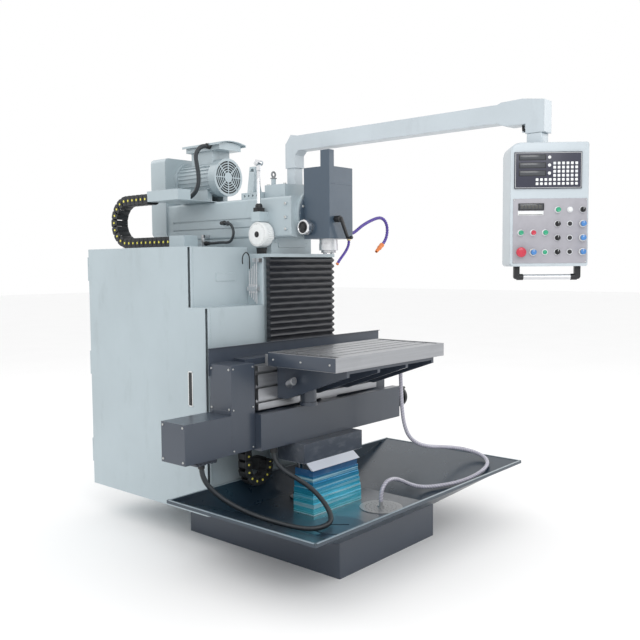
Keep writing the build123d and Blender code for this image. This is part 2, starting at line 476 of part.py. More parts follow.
# ---------------------------------------------------------------- tables
NUT_X = (-75.0, 75.0)
with BuildPart() as vertical_table:
    block(WALL_TABLE_X, (0, WALL_TABLE_T), WALL_TABLE_Z)
    for slot in range(3):
        z = WALL_TABLE_Z[0] + 45 + slot * SLOT_PITCH
        block(WALL_TABLE_X, (-1, 20), (z - SLOT_W / 2, z + SLOT_W / 2), Mode.SUBTRACT)
        block(WALL_TABLE_X, (10, 20), (z - SLOT_FOOT_W / 2, z + SLOT_FOOT_W / 2), Mode.SUBTRACT)
    block(NUT_X, (4, WALL_TABLE_T - 1), (SCREW_Z - 35, WALL_TABLE_Z[0] + 1))
    rod("X", (NUT_X[0] - 1, NUT_X[1] + 1), (SCREW_Y, SCREW_Z), SCREW_R + GAP, Mode.SUBTRACT)
    block(WALL_TABLE_X, (WALL_TABLE_T, KNEE_FRONT - GAP), (WALL_TABLE_Z[0] + 20, WALL_TABLE_Z[1] - 20))
keep(vertical_table, "vertical_table")

TABLE_FOOT = TABLE_TOP - TABLE_T
RIB_COUNT, RIB_T = 4, 22.0
with BuildPart() as angle_bracket:
    block(BRACKET_X, (-30, 0), (BRACKET_Z0, TABLE_FOOT))
    block(BRACKET_X, (BRACKET_FRONT, 0), (TABLE_FOOT - 22, TABLE_FOOT))
    rib_gap = (BRACKET_X[1] - BRACKET_X[0] - RIB_T) / (RIB_COUNT - 1)
    for rib in range(RIB_COUNT):
        with BuildSketch(Plane.YZ.offset(BRACKET_X[0] + rib * rib_gap)):
            with BuildLine():
                Polyline((-30, BRACKET_Z0), (-30, TABLE_FOOT - 20), (BRACKET_FRONT, TABLE_FOOT - 20),
                         (BRACKET_FRONT, TABLE_FOOT - 40), (-70, BRACKET_Z0), close=True)
            make_face()
        extrude(amount=RIB_T)
    rod("Z", (820, 1024), (-297, -95), 46)
    rod("Z", (800, 820), (-297, -95), 52)
    block((-320, -274), (-60, -29), (900, 960))
    rod("X", (-430, -297), (-95, 930), 13)
keep(angle_bracket, "angle_bracket")

DRAIN_AT, DRAIN_STUB = (TABLE_X[1] - 40, -240.0), 30.0
with BuildPart() as horizontal_table:
    block(TABLE_X, TABLE_Y, (TABLE_FOOT, TABLE_TOP))
    fillet(horizontal_table.edges().filter_by(Axis.Z), 6)
    table_middle = sum(TABLE_Y) / 2
    for slot in range(5):
        y = table_middle + (slot - 2) * SLOT_PITCH
        block((TABLE_X[0] + 60, TABLE_X[1] - 60), (y - SLOT_W / 2, y + SLOT_W / 2),
              (TABLE_TOP - 26, TABLE_TOP + 1),
              Mode.SUBTRACT)
        block((TABLE_X[0] + 60, TABLE_X[1] - 60), (y - SLOT_FOOT_W / 2, y + SLOT_FOOT_W / 2),
              (TABLE_TOP - 26, TABLE_TOP - 14), Mode.SUBTRACT)
    for end in (TABLE_X[0] + 22, TABLE_X[1] - 60):
        block((end, end + 38), (TABLE_Y[0] + 22, TABLE_Y[1] - 22), (TABLE_TOP - 34, TABLE_TOP + 1),
              Mode.SUBTRACT)
    rod("Z", (TABLE_FOOT - DRAIN_STUB, TABLE_TOP - 30), DRAIN_AT, HOSE_D / 2 - 2)
    block(TABLE_X, (TABLE_Y[1], TABLE_Y[1] + 20), (TABLE_FOOT, TABLE_TOP - 12))
    rod("Z", (TABLE_FOOT - DRAIN_STUB - 1, TABLE_TOP - 20), DRAIN_AT, 5, Mode.SUBTRACT)
keep(horizontal_table, "horizontal_table")

# ---------------------------------------------------------------- ram
DIAL_AT, DIAL_X, DIAL_R = (331.0, 1776.0), (-272.0, -188.0), 74.0
LEVER_AT = (-230.0, 352.0)
with BuildPart() as ram:
    block((-RAM_HALF, RAM_HALF), (RAM_FRONT, RAM_BACK), (RAM_Z0, RAM_Z1))
    fillet(ram.edges().filter_by(Axis.Y), 14)
    block((-RAM_HALF + 22, RAM_HALF - 22), (RAM_FRONT + 90, RAM_BACK - 30), (RAM_Z0 + 26, RAM_Z1 - 26),
          Mode.SUBTRACT)
    block((-SHOULDER_HALF, SHOULDER_HALF), (GUIDE_FRONT - 4, RAM_BACK), (SHOULDER_Z0, RAM_Z0 + 1))
    block((-KEEL_HALF, KEEL_HALF), (GUIDE_FRONT - 4, RAM_BACK), (KEEL_Z0, SHOULDER_Z0 + 1))
    rod("Y", (RAM_FRONT - SWIVEL_T, RAM_FRONT + 1), (0, SWIVEL_Z), SWIVEL_R + 12)
    rod("Y", (RAM_FRONT - 40, RAM_BACK + 1), (0, SWIVEL_Z), SHAFT_R + FIT, Mode.SUBTRACT)
    for side in (-1, 1):
        groove = sorted((side * (RAM_HALF - 7), side * (RAM_HALF + 1)))
        block(groove, (RAM_FRONT + 330, RAM_BACK - 60), (1872, 1884), Mode.SUBTRACT)
        block(groove, (RAM_FRONT + 330, RAM_BACK - 60), (1822, 1830), Mode.SUBTRACT)
    rod("X", (-RAM_HALF - 2, -GUIDE_HALF - 1), DIAL_AT, 60)
    rod("X", (-RAM_HALF - 3, -RAM_HALF + 40), DIAL_AT, 12 + FIT, Mode.SUBTRACT)
    block((LEVER_AT[0] - 32, -RAM_HALF + 1), (LEVER_AT[1] - 34, LEVER_AT[1] + 34), (1853, 1912))
    rod("Z", (1870, 1913), LEVER_AT, 9, Mode.SUBTRACT)
    for bolt_z in (SWIVEL_Z - 90, SWIVEL_Z - 20, SWIVEL_Z + 60):
        rod("X", (-RAM_HALF - 6, -RAM_HALF + 1), (RAM_FRONT + 40, bolt_z), 9)
    rod("Z", (RAM_Z1 - 30, RAM_Z1 + 1), (120, 1120), 10, Mode.SUBTRACT)
keep(ram, "ram")

CHAIN_BOX_Y, CHAIN_BOX_Z = (800.0, CHAIN_TOP_Y), (1962.0, 2066.0)
POST_BASE_X = (-130.0, 60.0)
with BuildPart() as ram_brackets:
    block((-170, 60), (405, 566), (RAM_Z1, RAM_Z1 + 40))
    for hole in range(4):
        rod("X", (-171, -140), (430 + hole * 36, RAM_Z1 + 20), 7, Mode.SUBTRACT)
    with BuildSketch(Plane.XZ.offset(-515)):
        with BuildLine():
            Polyline((-168, RAM_Z1 + 39), (-158, RAM_Z1 + 110), (-146, RAM_Z1 + 200), (-122, RAM_Z1 + 200),
                     (-108, RAM_Z1 + 110), (-90, RAM_Z1 + 39), close=True)
        make_face()
    extrude(amount=50)
    rod("X", (-150, -118), (490, RAM_Z1 + 172), 16, Mode.SUBTRACT)
    block(POST_BASE_X, (ARM_POST_Y - 38, ARM_POST_Y + 132), (RAM_Z1, ARM_BASE_Z))
    rod("Z", (ARM_BASE_Z - 20, ARM_BASE_Z + 40), (-95, ARM_POST_Y + 90), 14)
    rod("Z", (ARM_BASE_Z - 40, ARM_BASE_Z + 1), (0, ARM_POST_Y), 26 + FIT, Mode.SUBTRACT)
    block((CHAIN_X - CHAIN_W / 2, -120), CHAIN_BOX_Y, (RAM_Z1, RAM_Z1 + 3))
    block((CHAIN_X - CHAIN_W / 2, CHAIN_X + CHAIN_W / 2 + 12), CHAIN_BOX_Y, (RAM_Z1, CHAIN_BOX_Z[1]))
    block((CHAIN_X - CHAIN_W / 2 + 3, CHAIN_X + CHAIN_W / 2 + 9), (CHAIN_BOX_Y[0] + 3, CHAIN_BOX_Y[1] + 1),
          (RAM_Z1 + 3, CHAIN_BOX_Z[1] - 3), Mode.SUBTRACT)
keep(ram_brackets, "ram_brackets")

FAN_R = MOTOR_R - 16
MOTOR_SHAFT_R = 14.0
with BuildPart() as motor_body:
    rod("Y", (MOTOR_Y[0] + 60, MOTOR_Y[1]), (0, MOTOR_Z), MOTOR_R - 12)
    for fin in range(28):
        angle = 360 / 28 * fin
        with Locations(Location((0, (MOTOR_Y[0] + MOTOR_Y[1] + 40) / 2, MOTOR_Z), (0, angle, 0))):
            Box(2 * MOTOR_R - 6, MOTOR_Y[1] - MOTOR_Y[0] - 110, 4)
    rod("Y", (MOTOR_Y[1] - 26, MOTOR_Y[1]), (0, MOTOR_Z), MOTOR_R)
    rod("Y", (MOTOR_Y[0], MOTOR_Y[0] + 66), (0, MOTOR_Z), MOTOR_R)
    rod("Y", (MOTOR_Y[0] + 4, MOTOR_Y[0] + 56), (0, MOTOR_Z), MOTOR_R - 4, Mode.SUBTRACT)
    for ring in (38, 54, 70, 86, 102):
        with BuildSketch(Plane.XZ.offset(-MOTOR_Y[0] - 5)):
            with Locations((0, MOTOR_Z)):
                Circle(ring + 5)
                Circle(ring - 5, mode=Mode.SUBTRACT)
                with PolarLocations(0, 8):
                    Rectangle(260, 7, mode=Mode.SUBTRACT)
        extrude(amount=6, mode=Mode.SUBTRACT)
    rod("Y", (MOTOR_Y[0] + 50, MOTOR_Y[1] + 1), (0, MOTOR_Z), MOTOR_SHAFT_R + FIT, Mode.SUBTRACT)
    block((-105, 105), (MOTOR_Y[0] + 110, MOTOR_Y[1] - 40), (RAM_Z1, RAM_Z1 + 18))
    block((-90, -50), (MOTOR_Y[0] + 110, MOTOR_Y[1] - 40), (RAM_Z1, MOTOR_Z - 70))
    block((50, 90), (MOTOR_Y[0] + 110, MOTOR_Y[1] - 40), (RAM_Z1, MOTOR_Z - 70))
    block((-75, 75), (MOTOR_Y[0] + 70, MOTOR_Y[1] - 130), (MOTOR_Z + 60, MOTOR_Z + 175))
    block((-96, 96), (MOTOR_Y[0] - 20, MOTOR_Y[1] - 100), (MOTOR_Z + 175, MOTOR_Z + 226))
    fillet(motor_body.edges().filter_by(Axis.Y).group_by(Axis.Z)[-1], 18)
keep(motor_body, "motor_body")

with BuildPart() as motor_rotor:
    rod("Y", (MOTOR_Y[0] + 20, PULLEY_Y[1] + 8), (0, MOTOR_Z), MOTOR_SHAFT_R)
    rod("Y", (MOTOR_Y[0] + 14, MOTOR_Y[0] + 46), (0, MOTOR_Z), 34)
    for blade in range(7):
        with Locations(Location((0, MOTOR_Y[0] + 30, MOTOR_Z), (0, 360 / 7 * blade, 0))):
            with Locations(Location((FAN_R / 2 + 12, 0, 0), (25, 0, 0))):
                Box(FAN_R - 30, 3, 34)
    rod("Y", PULLEY_Y, (0, MOTOR_Z), MOTOR_PULLEY_R)
keep(motor_rotor, "motor_rotor")

with BuildPart() as drive_shaft:
    rod("Y", (HEAD_Y[1] - 20, PULLEY_Y[1] + 8), (0, SWIVEL_Z), SHAFT_R)
    rod("Y", PULLEY_Y, (0, SWIVEL_Z), DRIVEN_PULLEY_R)
    with Locations(Location((0, (PULLEY_Y[0] + PULLEY_Y[1]) / 2, SWIVEL_Z), (90, 0, 0))):
        with PolarLocations(58, 6):
            Cylinder(16, 80, mode=Mode.SUBTRACT)
keep(drive_shaft, "drive_shaft")

BELT_T = 8.0
with BuildPart() as drive_belt:
    with BuildSketch(Plane.XZ.offset(-PULLEY_Y[0] - 4)):
        with Locations((0, SWIVEL_Z)):
            Circle(DRIVEN_PULLEY_R + GAP + BELT_T)
        with Locations((0, MOTOR_Z)):
            Circle(MOTOR_PULLEY_R + GAP + BELT_T)
        make_hull()
        with BuildSketch(mode=Mode.PRIVATE) as inside:
            with Locations((0, SWIVEL_Z)):
                Circle(DRIVEN_PULLEY_R + GAP)
            with Locations((0, MOTOR_Z)):
                Circle(MOTOR_PULLEY_R + GAP)
            make_hull()
        add(inside.sketch_local, mode=Mode.SUBTRACT)
    extrude(amount=-(PULLEY_Y[1] - PULLEY_Y[0] - 8))
keep(drive_belt, "drive_belt")

with BuildPart() as belt_cover:
    block(BELT_COVER_X, BELT_COVER_Y, BELT_COVER_Z)
    fillet(belt_cover.edges().filter_by(Axis.Y), 30)
    fillet(belt_cover.edges().group_by(Axis.Y)[-1], 12)
    offset(amount=-SHEET, kind=Kind.INTERSECTION, mode=Mode.SUBTRACT)
    rod("Y", (BELT_COVER_Y[0] - 1, BELT_COVER_Y[0] + 6), (0, SWIVEL_Z), SHAFT_R + 4, Mode.SUBTRACT)
    rod("Y", (BELT_COVER_Y[0] - 1, BELT_COVER_Y[0] + 6), (0, MOTOR_Z), MOTOR_SHAFT_R + 4, Mode.SUBTRACT)
keep(belt_cover, "belt_cover")

with BuildPart() as speed_dial:
    rod("X", DIAL_X, DIAL_AT, DIAL_R)
    with Locations(Location(((DIAL_X[0] + DIAL_X[1]) / 2 + 9, *DIAL_AT), (0, 90, 0))):
        with PolarLocations(DIAL_R, 30):
            Cylinder(2.2, DIAL_X[1] - DIAL_X[0] - 18, mode=Mode.SUBTRACT)
    rod("X", (DIAL_X[0] - 6, DIAL_X[0]), DIAL_AT, 13)
    rod("X", (DIAL_X[1] - 1, -RAM_HALF + 38), DIAL_AT, 12)
keep(speed_dial, "speed_dial")

with BuildPart() as gear_lever:
    rod("Z", (1880, 1914), LEVER_AT, 8.8)
    rod("Z", (1913, 1937), LEVER_AT, 34)
    with Locations(Location((*LEVER_AT, 1925))):
        with PolarLocations(34, 24):
            Cylinder(2, 40, mode=Mode.SUBTRACT)
    rod("Z", (1937, 1962), LEVER_AT, 22)
    rod("Z", (1960, 2200), LEVER_AT, 9)
    rod("X", (LEVER_AT[0] - 20, LEVER_AT[0] + 20), (LEVER_AT[1], 2206), 13)
    rod("X", (LEVER_AT[0] - 26, LEVER_AT[0] + 26), (LEVER_AT[1], 2206), 8)
keep(gear_lever, "gear_lever")

# Corrugated conduits clipped to the ram's left side.
CONDUIT_X, HANGER_X = -RAM_HALF - 32, -RAM_HALF - 46
CONDUIT_ONE = [
    (CONDUIT_X, CHAIN_BOX_Y[1] - 6, 2034), (CONDUIT_X, 1055, 2034), (CONDUIT_X, 1000, 2040),
    (CONDUIT_X, 948, 2068),
    (CONDUIT_X, 916, 2118), (CONDUIT_X, 914, 2178), (CONDUIT_X - 3, 926, 2240), (CONDUIT_X - 6, 936, 2303),
    (CONDUIT_X + 21, 940, 2349), (CONDUIT_X + 67, 940, 2376), (-96, 940, 2376),
]
CONDUIT_TWO = [
    (HANGER_X, 658, 1858), (HANGER_X, 620, 1858), (HANGER_X, 587, 1834), (HANGER_X, 575, 1796),
    (HANGER_X, 587, 1758), (HANGER_X, 620, 1734), (HANGER_X, 690, 1738), (HANGER_X, 768, 1733),
    (HANGER_X, 838, 1734),
]
conduit_one = cord("conduit one", CONDUIT_ONE, 28.0)
conduit_two = cord("conduit two", CONDUIT_TWO, 17.0)
with BuildPart() as motor_conduits:
    add(conduit_one.part)
    add(conduit_two.part)
    rod("Y", (658, 690), (HANGER_X, 1858), 13)
    rod("X", (HANGER_X, -RAM_HALF), (678, 1858), 10)
    rod("Y", (837, 872), (HANGER_X, 1734), 13)
    block((HANGER_X - 8, HANGER_X + 8), (852, 872), (1734, 1790))
    block((HANGER_X, -RAM_HALF), (852, 872), (1770, 1790))
    block((CONDUIT_X - 4, -170), (CHAIN_BOX_Y[1] - 6, CHAIN_BOX_Y[1] + 14), (2003, 2062))
keep(motor_conduits, "motor_conduits")

# ---------------------------------------------------------------- head
HEAD_BACK = RAM_FRONT - SWIVEL_T - GAP
FEED_DIAL_AT, FEED_DIAL_X, FEED_DIAL_R = (60.0, 1812.0), (-163.0, HEAD_X[0] - GAP), 36.5
QUILL_HUB, QUILL_LEVER_Y = (-53.0, 1857.0), (-150.0, HEAD_Y[0] - GAP)
with BuildPart() as head_housing:
    block(HEAD_X, HEAD_Y, HEAD_Z)
    block((-109, -60), (-98, -31), (HEAD_Z[1] - 1, 2254))
    fillet(head_housing.edges().filter_by(Axis.Z), 5)
    rod("Y", (HEAD_Y[1] - 1, HEAD_BACK), (0, SWIVEL_Z), SWIVEL_R)
    block((HEAD_X[0] + HEAD_WALL, HEAD_X[1] - HEAD_WALL), (HEAD_Y[0] + HEAD_WALL, HEAD_Y[1] - HEAD_WALL),
          (QUILL_TOP + 14, HEAD_Z[1] - HEAD_WALL), Mode.SUBTRACT)
    rod("Z", (HEAD_Z[0] - 1, QUILL_TOP + 15), (0, 0), QUILL_R + FIT, Mode.SUBTRACT)
    rod("Y", (HEAD_Y[1] - 30, HEAD_BACK + 1), (0, SWIVEL_Z), SHAFT_R + FIT, Mode.SUBTRACT)
    for bolt in (35, 145, 215, 325):
        bolt_x = 114 * math.cos(math.radians(bolt))
        bolt_z = SWIVEL_Z + 114 * math.sin(math.radians(bolt))
        rod("Y", (HEAD_Y[1] - 1, HEAD_Y[1]), (bolt_x, bolt_z), 9)
    rod("X", (HEAD_X[0] - 1, HEAD_X[0] + 30), FEED_DIAL_AT, 8 + FIT, Mode.SUBTRACT)
    rod("Y", (HEAD_Y[0] - 1, HEAD_Y[0] + 36), QUILL_HUB, 10 + FIT, Mode.SUBTRACT)
    block((HEAD_X[0] + 20, HEAD_X[1] - 20), (HEAD_Y[0] - 1, HEAD_Y[0]), (2060, 2064))
keep(head_housing, "head_housing")

with BuildPart() as quill:
    rod("Z", (QUILL_NOSE_Z + 30, QUILL_TOP - 8), (0, 0), QUILL_R)
    rod("Z", (QUILL_NOSE_Z, QUILL_NOSE_Z + 40), (0, 0), QUILL_R + 2)
    rod("Z", (QUILL_NOSE_Z - 1, QUILL_TOP), (0, 0), SPINDLE_R + FIT, Mode.SUBTRACT)
keep(quill, "quill")

TAPER_TOP_R, TAPER_L, NOSE_DROP = 12.5, 66.0, 14.0
with BuildPart() as spindle:
    rod("Z", (QUILL_NOSE_Z, SPINDLE_TOP), (0, 0), SPINDLE_R)
    rod("Z", (QUILL_NOSE_Z - NOSE_DROP, QUILL_NOSE_Z - GAP), (0, 0), 44)
    rod("Z", (QUILL_NOSE_Z - NOSE_DROP, QUILL_NOSE_Z + 1), (0, 0), SPINDLE_R)
    with BuildSketch(Plane.XY.offset(QUILL_NOSE_Z - NOSE_DROP)):
        Circle(TAPER_R)
    with BuildSketch(Plane.XY.offset(QUILL_NOSE_Z - NOSE_DROP + TAPER_L)):
        Circle(TAPER_TOP_R)
    loft(mode=Mode.SUBTRACT)
    rod("Z", (QUILL_NOSE_Z, SPINDLE_TOP + 1), (0, 0), 8.5, Mode.SUBTRACT)
    for side in (-1, 1):
        key = sorted((side * 24, side * 42))
        block(key, (-8, 8), (QUILL_NOSE_Z - NOSE_DROP - 8, QUILL_NOSE_Z - NOSE_DROP + 1))
keep(spindle, "spindle")

with BuildPart() as quill_lever:
    rod("Y", (QUILL_LEVER_Y[0] + 10, QUILL_LEVER_Y[1]), QUILL_HUB, 19)
    rod("Y", (QUILL_LEVER_Y[1] - 1, HEAD_Y[0] + 34), QUILL_HUB, 10)
    grip = (5.0, 1749.0)
    lever_angle = math.degrees(math.atan2(grip[1] - QUILL_HUB[1], grip[0] - QUILL_HUB[0]))
    arm_length = math.hypot(grip[0] - QUILL_HUB[0], grip[1] - QUILL_HUB[1])
    with BuildSketch(Plane.XZ.offset(-QUILL_LEVER_Y[0])):
        with Locations(Location((QUILL_HUB[0], QUILL_HUB[1], 0), lever_angle)):
            with Locations((arm_length / 2, 0)):
                SlotOverall(arm_length + 20, 16)
    extrude(amount=-16)
    rod("Y", (QUILL_LEVER_Y[0] - 30, QUILL_LEVER_Y[0] + 1), grip, 9)
keep(quill_lever, "quill_lever")

with BuildPart() as feed_dial:
    rod("X", FEED_DIAL_X, FEED_DIAL_AT, FEED_DIAL_R)
    rod("X", (FEED_DIAL_X[0] - 1, FEED_DIAL_X[0] + 12), FEED_DIAL_AT, 25, Mode.SUBTRACT)
    rod("X", (FEED_DIAL_X[0] + 2, FEED_DIAL_X[0] + 14), FEED_DIAL_AT, 14)
    rod("X", (FEED_DIAL_X[1] - 1, HEAD_X[0] + 28), FEED_DIAL_AT, 8)
keep(feed_dial, "feed_dial")

HOSE_ONE = [
    (HEAD_X[1] + 24, -50, 1780), (161, -50, 1780), (187, -52, 1790), (214, -56, 1808), (250, -60, 1830),
    (300, -60, 1851), (350, -60, 1868), (400, -60, 1882), (446, -60, 1886), (484, -60, 1870),
    (507, -60, 1837),
    (510, -60, 1797), (497, -60, 1760), (474, -60, 1731), (450, -60, 1714),
]
HOSE_TWO = [
    (94, -80, HEAD_Z[0]), (94, -80, 1724), (85, -81, 1700), (67, -82, 1678), (45, -82, 1656),
    (22, -80, 1634),
    (2, -78, 1614), (-14, -78, 1596),
]
hose_one = cord("coolant hose one", HOSE_ONE, 20.0)
hose_two = cord("coolant hose two", HOSE_TWO, 17.0)
with BuildPart() as coolant_nozzle:
    add(hose_one.part)
    add(hose_two.part)
    end, before = Vector(*HOSE_ONE[-1]), Vector(*HOSE_ONE[-2])
    direction = (end - before).normalized()
    with BuildSketch(Plane(origin=end, z_dir=direction)):
        Circle(11)
    with BuildSketch(Plane(origin=end + direction * 62, z_dir=direction)):
        Circle(8)
    loft()
    rod("X", (HEAD_X[1], HEAD_X[1] + 24), (-50, 1780), 14)
    rod("X", (HEAD_X[1] + 6, HEAD_X[1] + 18), (-50, 1780), 17)
keep(coolant_nozzle, "coolant_nozzle")

# ---------------------------------------------------------------- pendant arm
ARM_END_Y = PENDANT_Y - 52
PENDANT_TOP = 2159.0
NECK_W, ARM_SOCKET_Z = 78.0, 2215.0
with BuildPart() as pendant_arm:
    block((-ARM_POST_W / 2, ARM_POST_W / 2), (ARM_POST_Y - ARM_POST_W / 2, ARM_POST_Y + ARM_POST_W / 2),
          (ARM_BASE_Z + GAP, 2190))
    rod("Z", (ARM_BASE_Z - 38, ARM_BASE_Z + 1), (0, ARM_POST_Y), 26)
    with BuildSketch(Plane.YZ.offset(-ARM_W / 2)):
        with BuildLine():
            Polyline((ARM_POST_Y - 40, 2182), (ARM_POST_Y + 40, 2182), (ARM_POST_Y + 40, ARM_Z[1] - 45),
                     (ARM_POST_Y - 5, ARM_Z[1] + 10), (ARM_POST_Y - 60, ARM_Z[1]), (-1130, ARM_Z[1]),
                     (-1150, ARM_Z[1] + 8), (-1265, ARM_Z[1] + 12), (ARM_END_Y, ARM_Z[1] - 4),
                     (ARM_END_Y, ARM_SOCKET_Z),
                     (PENDANT_Y + 44, ARM_SOCKET_Z), (PENDANT_Y + 44, 2262), (-1180, 2262), (-1145, 2272),
                     (-1130, ARM_Z[0]),
                     (ARM_POST_Y - 65, ARM_Z[0]), (ARM_POST_Y - 40, ARM_Z[0] - 25), close=True)
        make_face()
    extrude(amount=ARM_W)
    rod("Y", (PENDANT_Y + 43, PENDANT_Y + 66), (0, 2236), 8)
    rod("Z", (2228, 2290), (0, PENDANT_Y + 72), 7)
    rod("Z", (ARM_SOCKET_Z - 1, ARM_SOCKET_Z + 31), (0, PENDANT_Y), 24 + FIT, Mode.SUBTRACT)
keep(pendant_arm, "pendant_arm")

FACE_RIGHT = (math.sin(math.radians(PENDANT_TURN)), -math.cos(math.radians(PENDANT_TURN)), 0)
FACE_OUT = (-math.cos(math.radians(PENDANT_TURN)), -math.sin(math.radians(PENDANT_TURN)), 0)
CASE_X, CASE_Z, CASE_DEPTH = (-145.0, 219.0), (1577.0, PENDANT_TOP), (-100.0, 100.0)
CASE_SHEET = 3.0
PLATE_X, PLATE_Z, PLATE_T = (-132.0, 214.0), (1592.0, 1896.0), 3.0
SCREEN_X, SCREEN_Z, SCREEN_T = (-128.0, 186.0), (1942.0, 2114.0), 8.0
FRONT = CASE_DEPTH[1] + PLATE_T
LEFT_COLUMNS, RIGHT_COLUMNS = (-96.0, -38.0, 18.0), (76.0, 133.0, 192.0)
ROW_TOP, ROWS = 1843.0, (1777.0, 1711.0, 1645.0)
LEFT_ROW, STOP_ROW = 1736.0, 1644.0
STEM_R = 6.0


def on_face(depth):
    """A plane parallel to the pendant's front, x to the right and y up, ahead of the neck's axis."""
    out = Vector(*FACE_OUT)
    return Plane(origin=Vector(0, PENDANT_Y, 0) + out * depth, x_dir=FACE_RIGHT, z_dir=FACE_OUT)


def face_plate(x, z, low, high, corner=0.0, mode=Mode.ADD):
    """A plate on the pendant's front between two depths."""
    with BuildSketch(on_face(low)) as plate:
        with Locations(((x[0] + x[1]) / 2, (z[0] + z[1]) / 2)):
            if corner:
                RectangleRounded(x[1] - x[0], z[1] - z[0], corner)
            else:
                Rectangle(x[1] - x[0], z[1] - z[0])
    extrude(plate.sketch, amount=high - low, mode=mode)


def face_rod(at, low, high, radius, mode=Mode.ADD):
    """A round piece on the pendant's front between two depths."""
    with BuildSketch(on_face(low)) as disc:
        with Locations(at):
            Circle(radius)
    extrude(disc.sketch, amount=high - low, mode=mode)


BUTTONS = {
    "start_button": ((RIGHT_COLUMNS[0], ROW_TOP), 12.0),
    "jog_button_1": ((LEFT_COLUMNS[0], LEFT_ROW), 12.0),
    "jog_button_2": ((LEFT_COLUMNS[1], LEFT_ROW), 12.0),
    "jog_button_3": ((LEFT_COLUMNS[2], LEFT_ROW), 12.0),
    "emergency_stop": ((LEFT_COLUMNS[0], STOP_ROW), 24.0),
}
SELECTORS = {
    "mode_selector": (RIGHT_COLUMNS[2], ROW_TOP),
    "axis_selector_1": (RIGHT_COLUMNS[0], ROWS[0]),
    "axis_selector_2": (RIGHT_COLUMNS[0], ROWS[1]),
    "axis_selector_3": (RIGHT_COLUMNS[0], ROWS[2]),
}
KNOBS = {
    "feed_knob_1": (RIGHT_COLUMNS[2], ROWS[0]),
    "feed_knob_2": (RIGHT_COLUMNS[2], ROWS[1]),
    "feed_knob_3": (RIGHT_COLUMNS[2], ROWS[2]),
    "spindle_knob": (LEFT_COLUMNS[1], STOP_ROW),
}
STEMS = [place for place, radius in BUTTONS.values()] + list(SELECTORS.values()) + list(KNOBS.values())
LAMPS = [(RIGHT_COLUMNS[1], ROW_TOP), (LEFT_COLUMNS[2], STOP_ROW)]
LAMPS += [(RIGHT_COLUMNS[1], row) for row in ROWS]

with BuildPart() as pendant_case:
    with BuildSketch(on_face(CASE_DEPTH[0])) as outline:
        with Locations((sum(CASE_X) / 2, sum(CASE_Z) / 2)):
            Rectangle(CASE_X[1] - CASE_X[0], CASE_Z[1] - CASE_Z[0])
        fillet(outline.vertices().sort_by(Axis.X)[:2].sort_by(Axis.Y)[-1:], 42)
    extrude(amount=CASE_DEPTH[1] - CASE_DEPTH[0])
    upright_edges = pendant_case.edges().filter_by(Axis.Z)
    left_edge = upright_edges.sort_by(lambda edge: edge.center().dot(Vector(*FACE_RIGHT)))
    fillet(left_edge[:2], 26)
    face_plate((CASE_X[0] + CASE_SHEET, CASE_X[1] - CASE_SHEET), (CASE_Z[0] + CASE_SHEET, CASE_Z[1] - 45),
               CASE_DEPTH[0] + CASE_SHEET, CASE_DEPTH[1] - CASE_SHEET, 22.0, Mode.SUBTRACT)
    face_plate(PLATE_X, PLATE_Z, CASE_DEPTH[1] - 1, FRONT)
    face_plate(SCREEN_X, SCREEN_Z, CASE_DEPTH[1] - 1, CASE_DEPTH[1] + SCREEN_T, 2.0)
    face_plate((-108, 12), (1842, 1874), FRONT - 1, FRONT + 5)
    face_plate((-110, 10), (1818, 1838), FRONT - 1, FRONT + 2)
    for row in range(4):
        for key in range(6):
            face_rod((-128 + 186 + key * 20.3, 2060 - row * 19), CASE_DEPTH[1] + SCREEN_T - 1,
                     CASE_DEPTH[1] + SCREEN_T + 2, 6.5)
    for row in range(2):
        for key in range(10):
            face_rod((-23 + key * 20.3, 1984 - row * 19), CASE_DEPTH[1] + SCREEN_T - 1,
                     CASE_DEPTH[1] + SCREEN_T + 2, 6.5)
    for axis_key in range(3):
        face_rod((34, 2088 - axis_key * 37), CASE_DEPTH[1] + SCREEN_T - 1, CASE_DEPTH[1] + SCREEN_T + 2, 8)
    for lamp in LAMPS:
        face_rod(lamp, FRONT - 1, FRONT + 5, 14)
        face_rod(lamp, FRONT - 1, FRONT + 12, 10.5)
    for stem in STEMS:
        face_rod(stem, FRONT - 1, FRONT + 4, 15 if stem != BUTTONS["emergency_stop"][0] else 20)
        face_rod(stem, 60, FRONT + 6, STEM_R + GAP, Mode.SUBTRACT)
    rod("Z", (PENDANT_TOP - 1, ARM_SOCKET_Z - GAP), (0, PENDANT_Y), NECK_W / 2)
    rod("Z", (ARM_SOCKET_Z - 10, ARM_SOCKET_Z + 28), (0, PENDANT_Y), 24)
    for end in (CASE_X[0] + 42, CASE_X[1] - 34):
        face_plate((end - 14, end + 14), (1512, CASE_Z[0] + 1), 30, 62, 8.0)
    bar_start = on_face(46).origin + Vector(*FACE_RIGHT) * (CASE_X[0] + 42) + Vector(0, 0, 1526)
    with BuildSketch(Plane(origin=bar_start, z_dir=FACE_RIGHT)) as bar_end:
        Circle(13)
    extrude(bar_end.sketch, amount=CASE_X[1] - CASE_X[0] - 76)
keep(pendant_case, "pendant_case")

for name, (at, radius) in BUTTONS.items():
    with BuildPart() as button:
        head_low = FRONT + 4 + GAP + 5
        face_rod(at, head_low, head_low + (12 if radius < 20 else 20), radius)
        face_rod(at, 80, head_low + 1, STEM_R)
        face_rod(at, 78, 84, STEM_R + 5)
    keep(button, name)

for name, at in SELECTORS.items():
    with BuildPart() as selector:
        head_low = FRONT + 4 + GAP
        face_rod(at, head_low, head_low + 8, 13)
        face_plate((at[0] - 4.5, at[0] + 4.5), (at[1] - 12, at[1] + 12), head_low, head_low + 20, 3.0)
        face_rod(at, 80, head_low + 1, STEM_R)
    keep(selector, name)

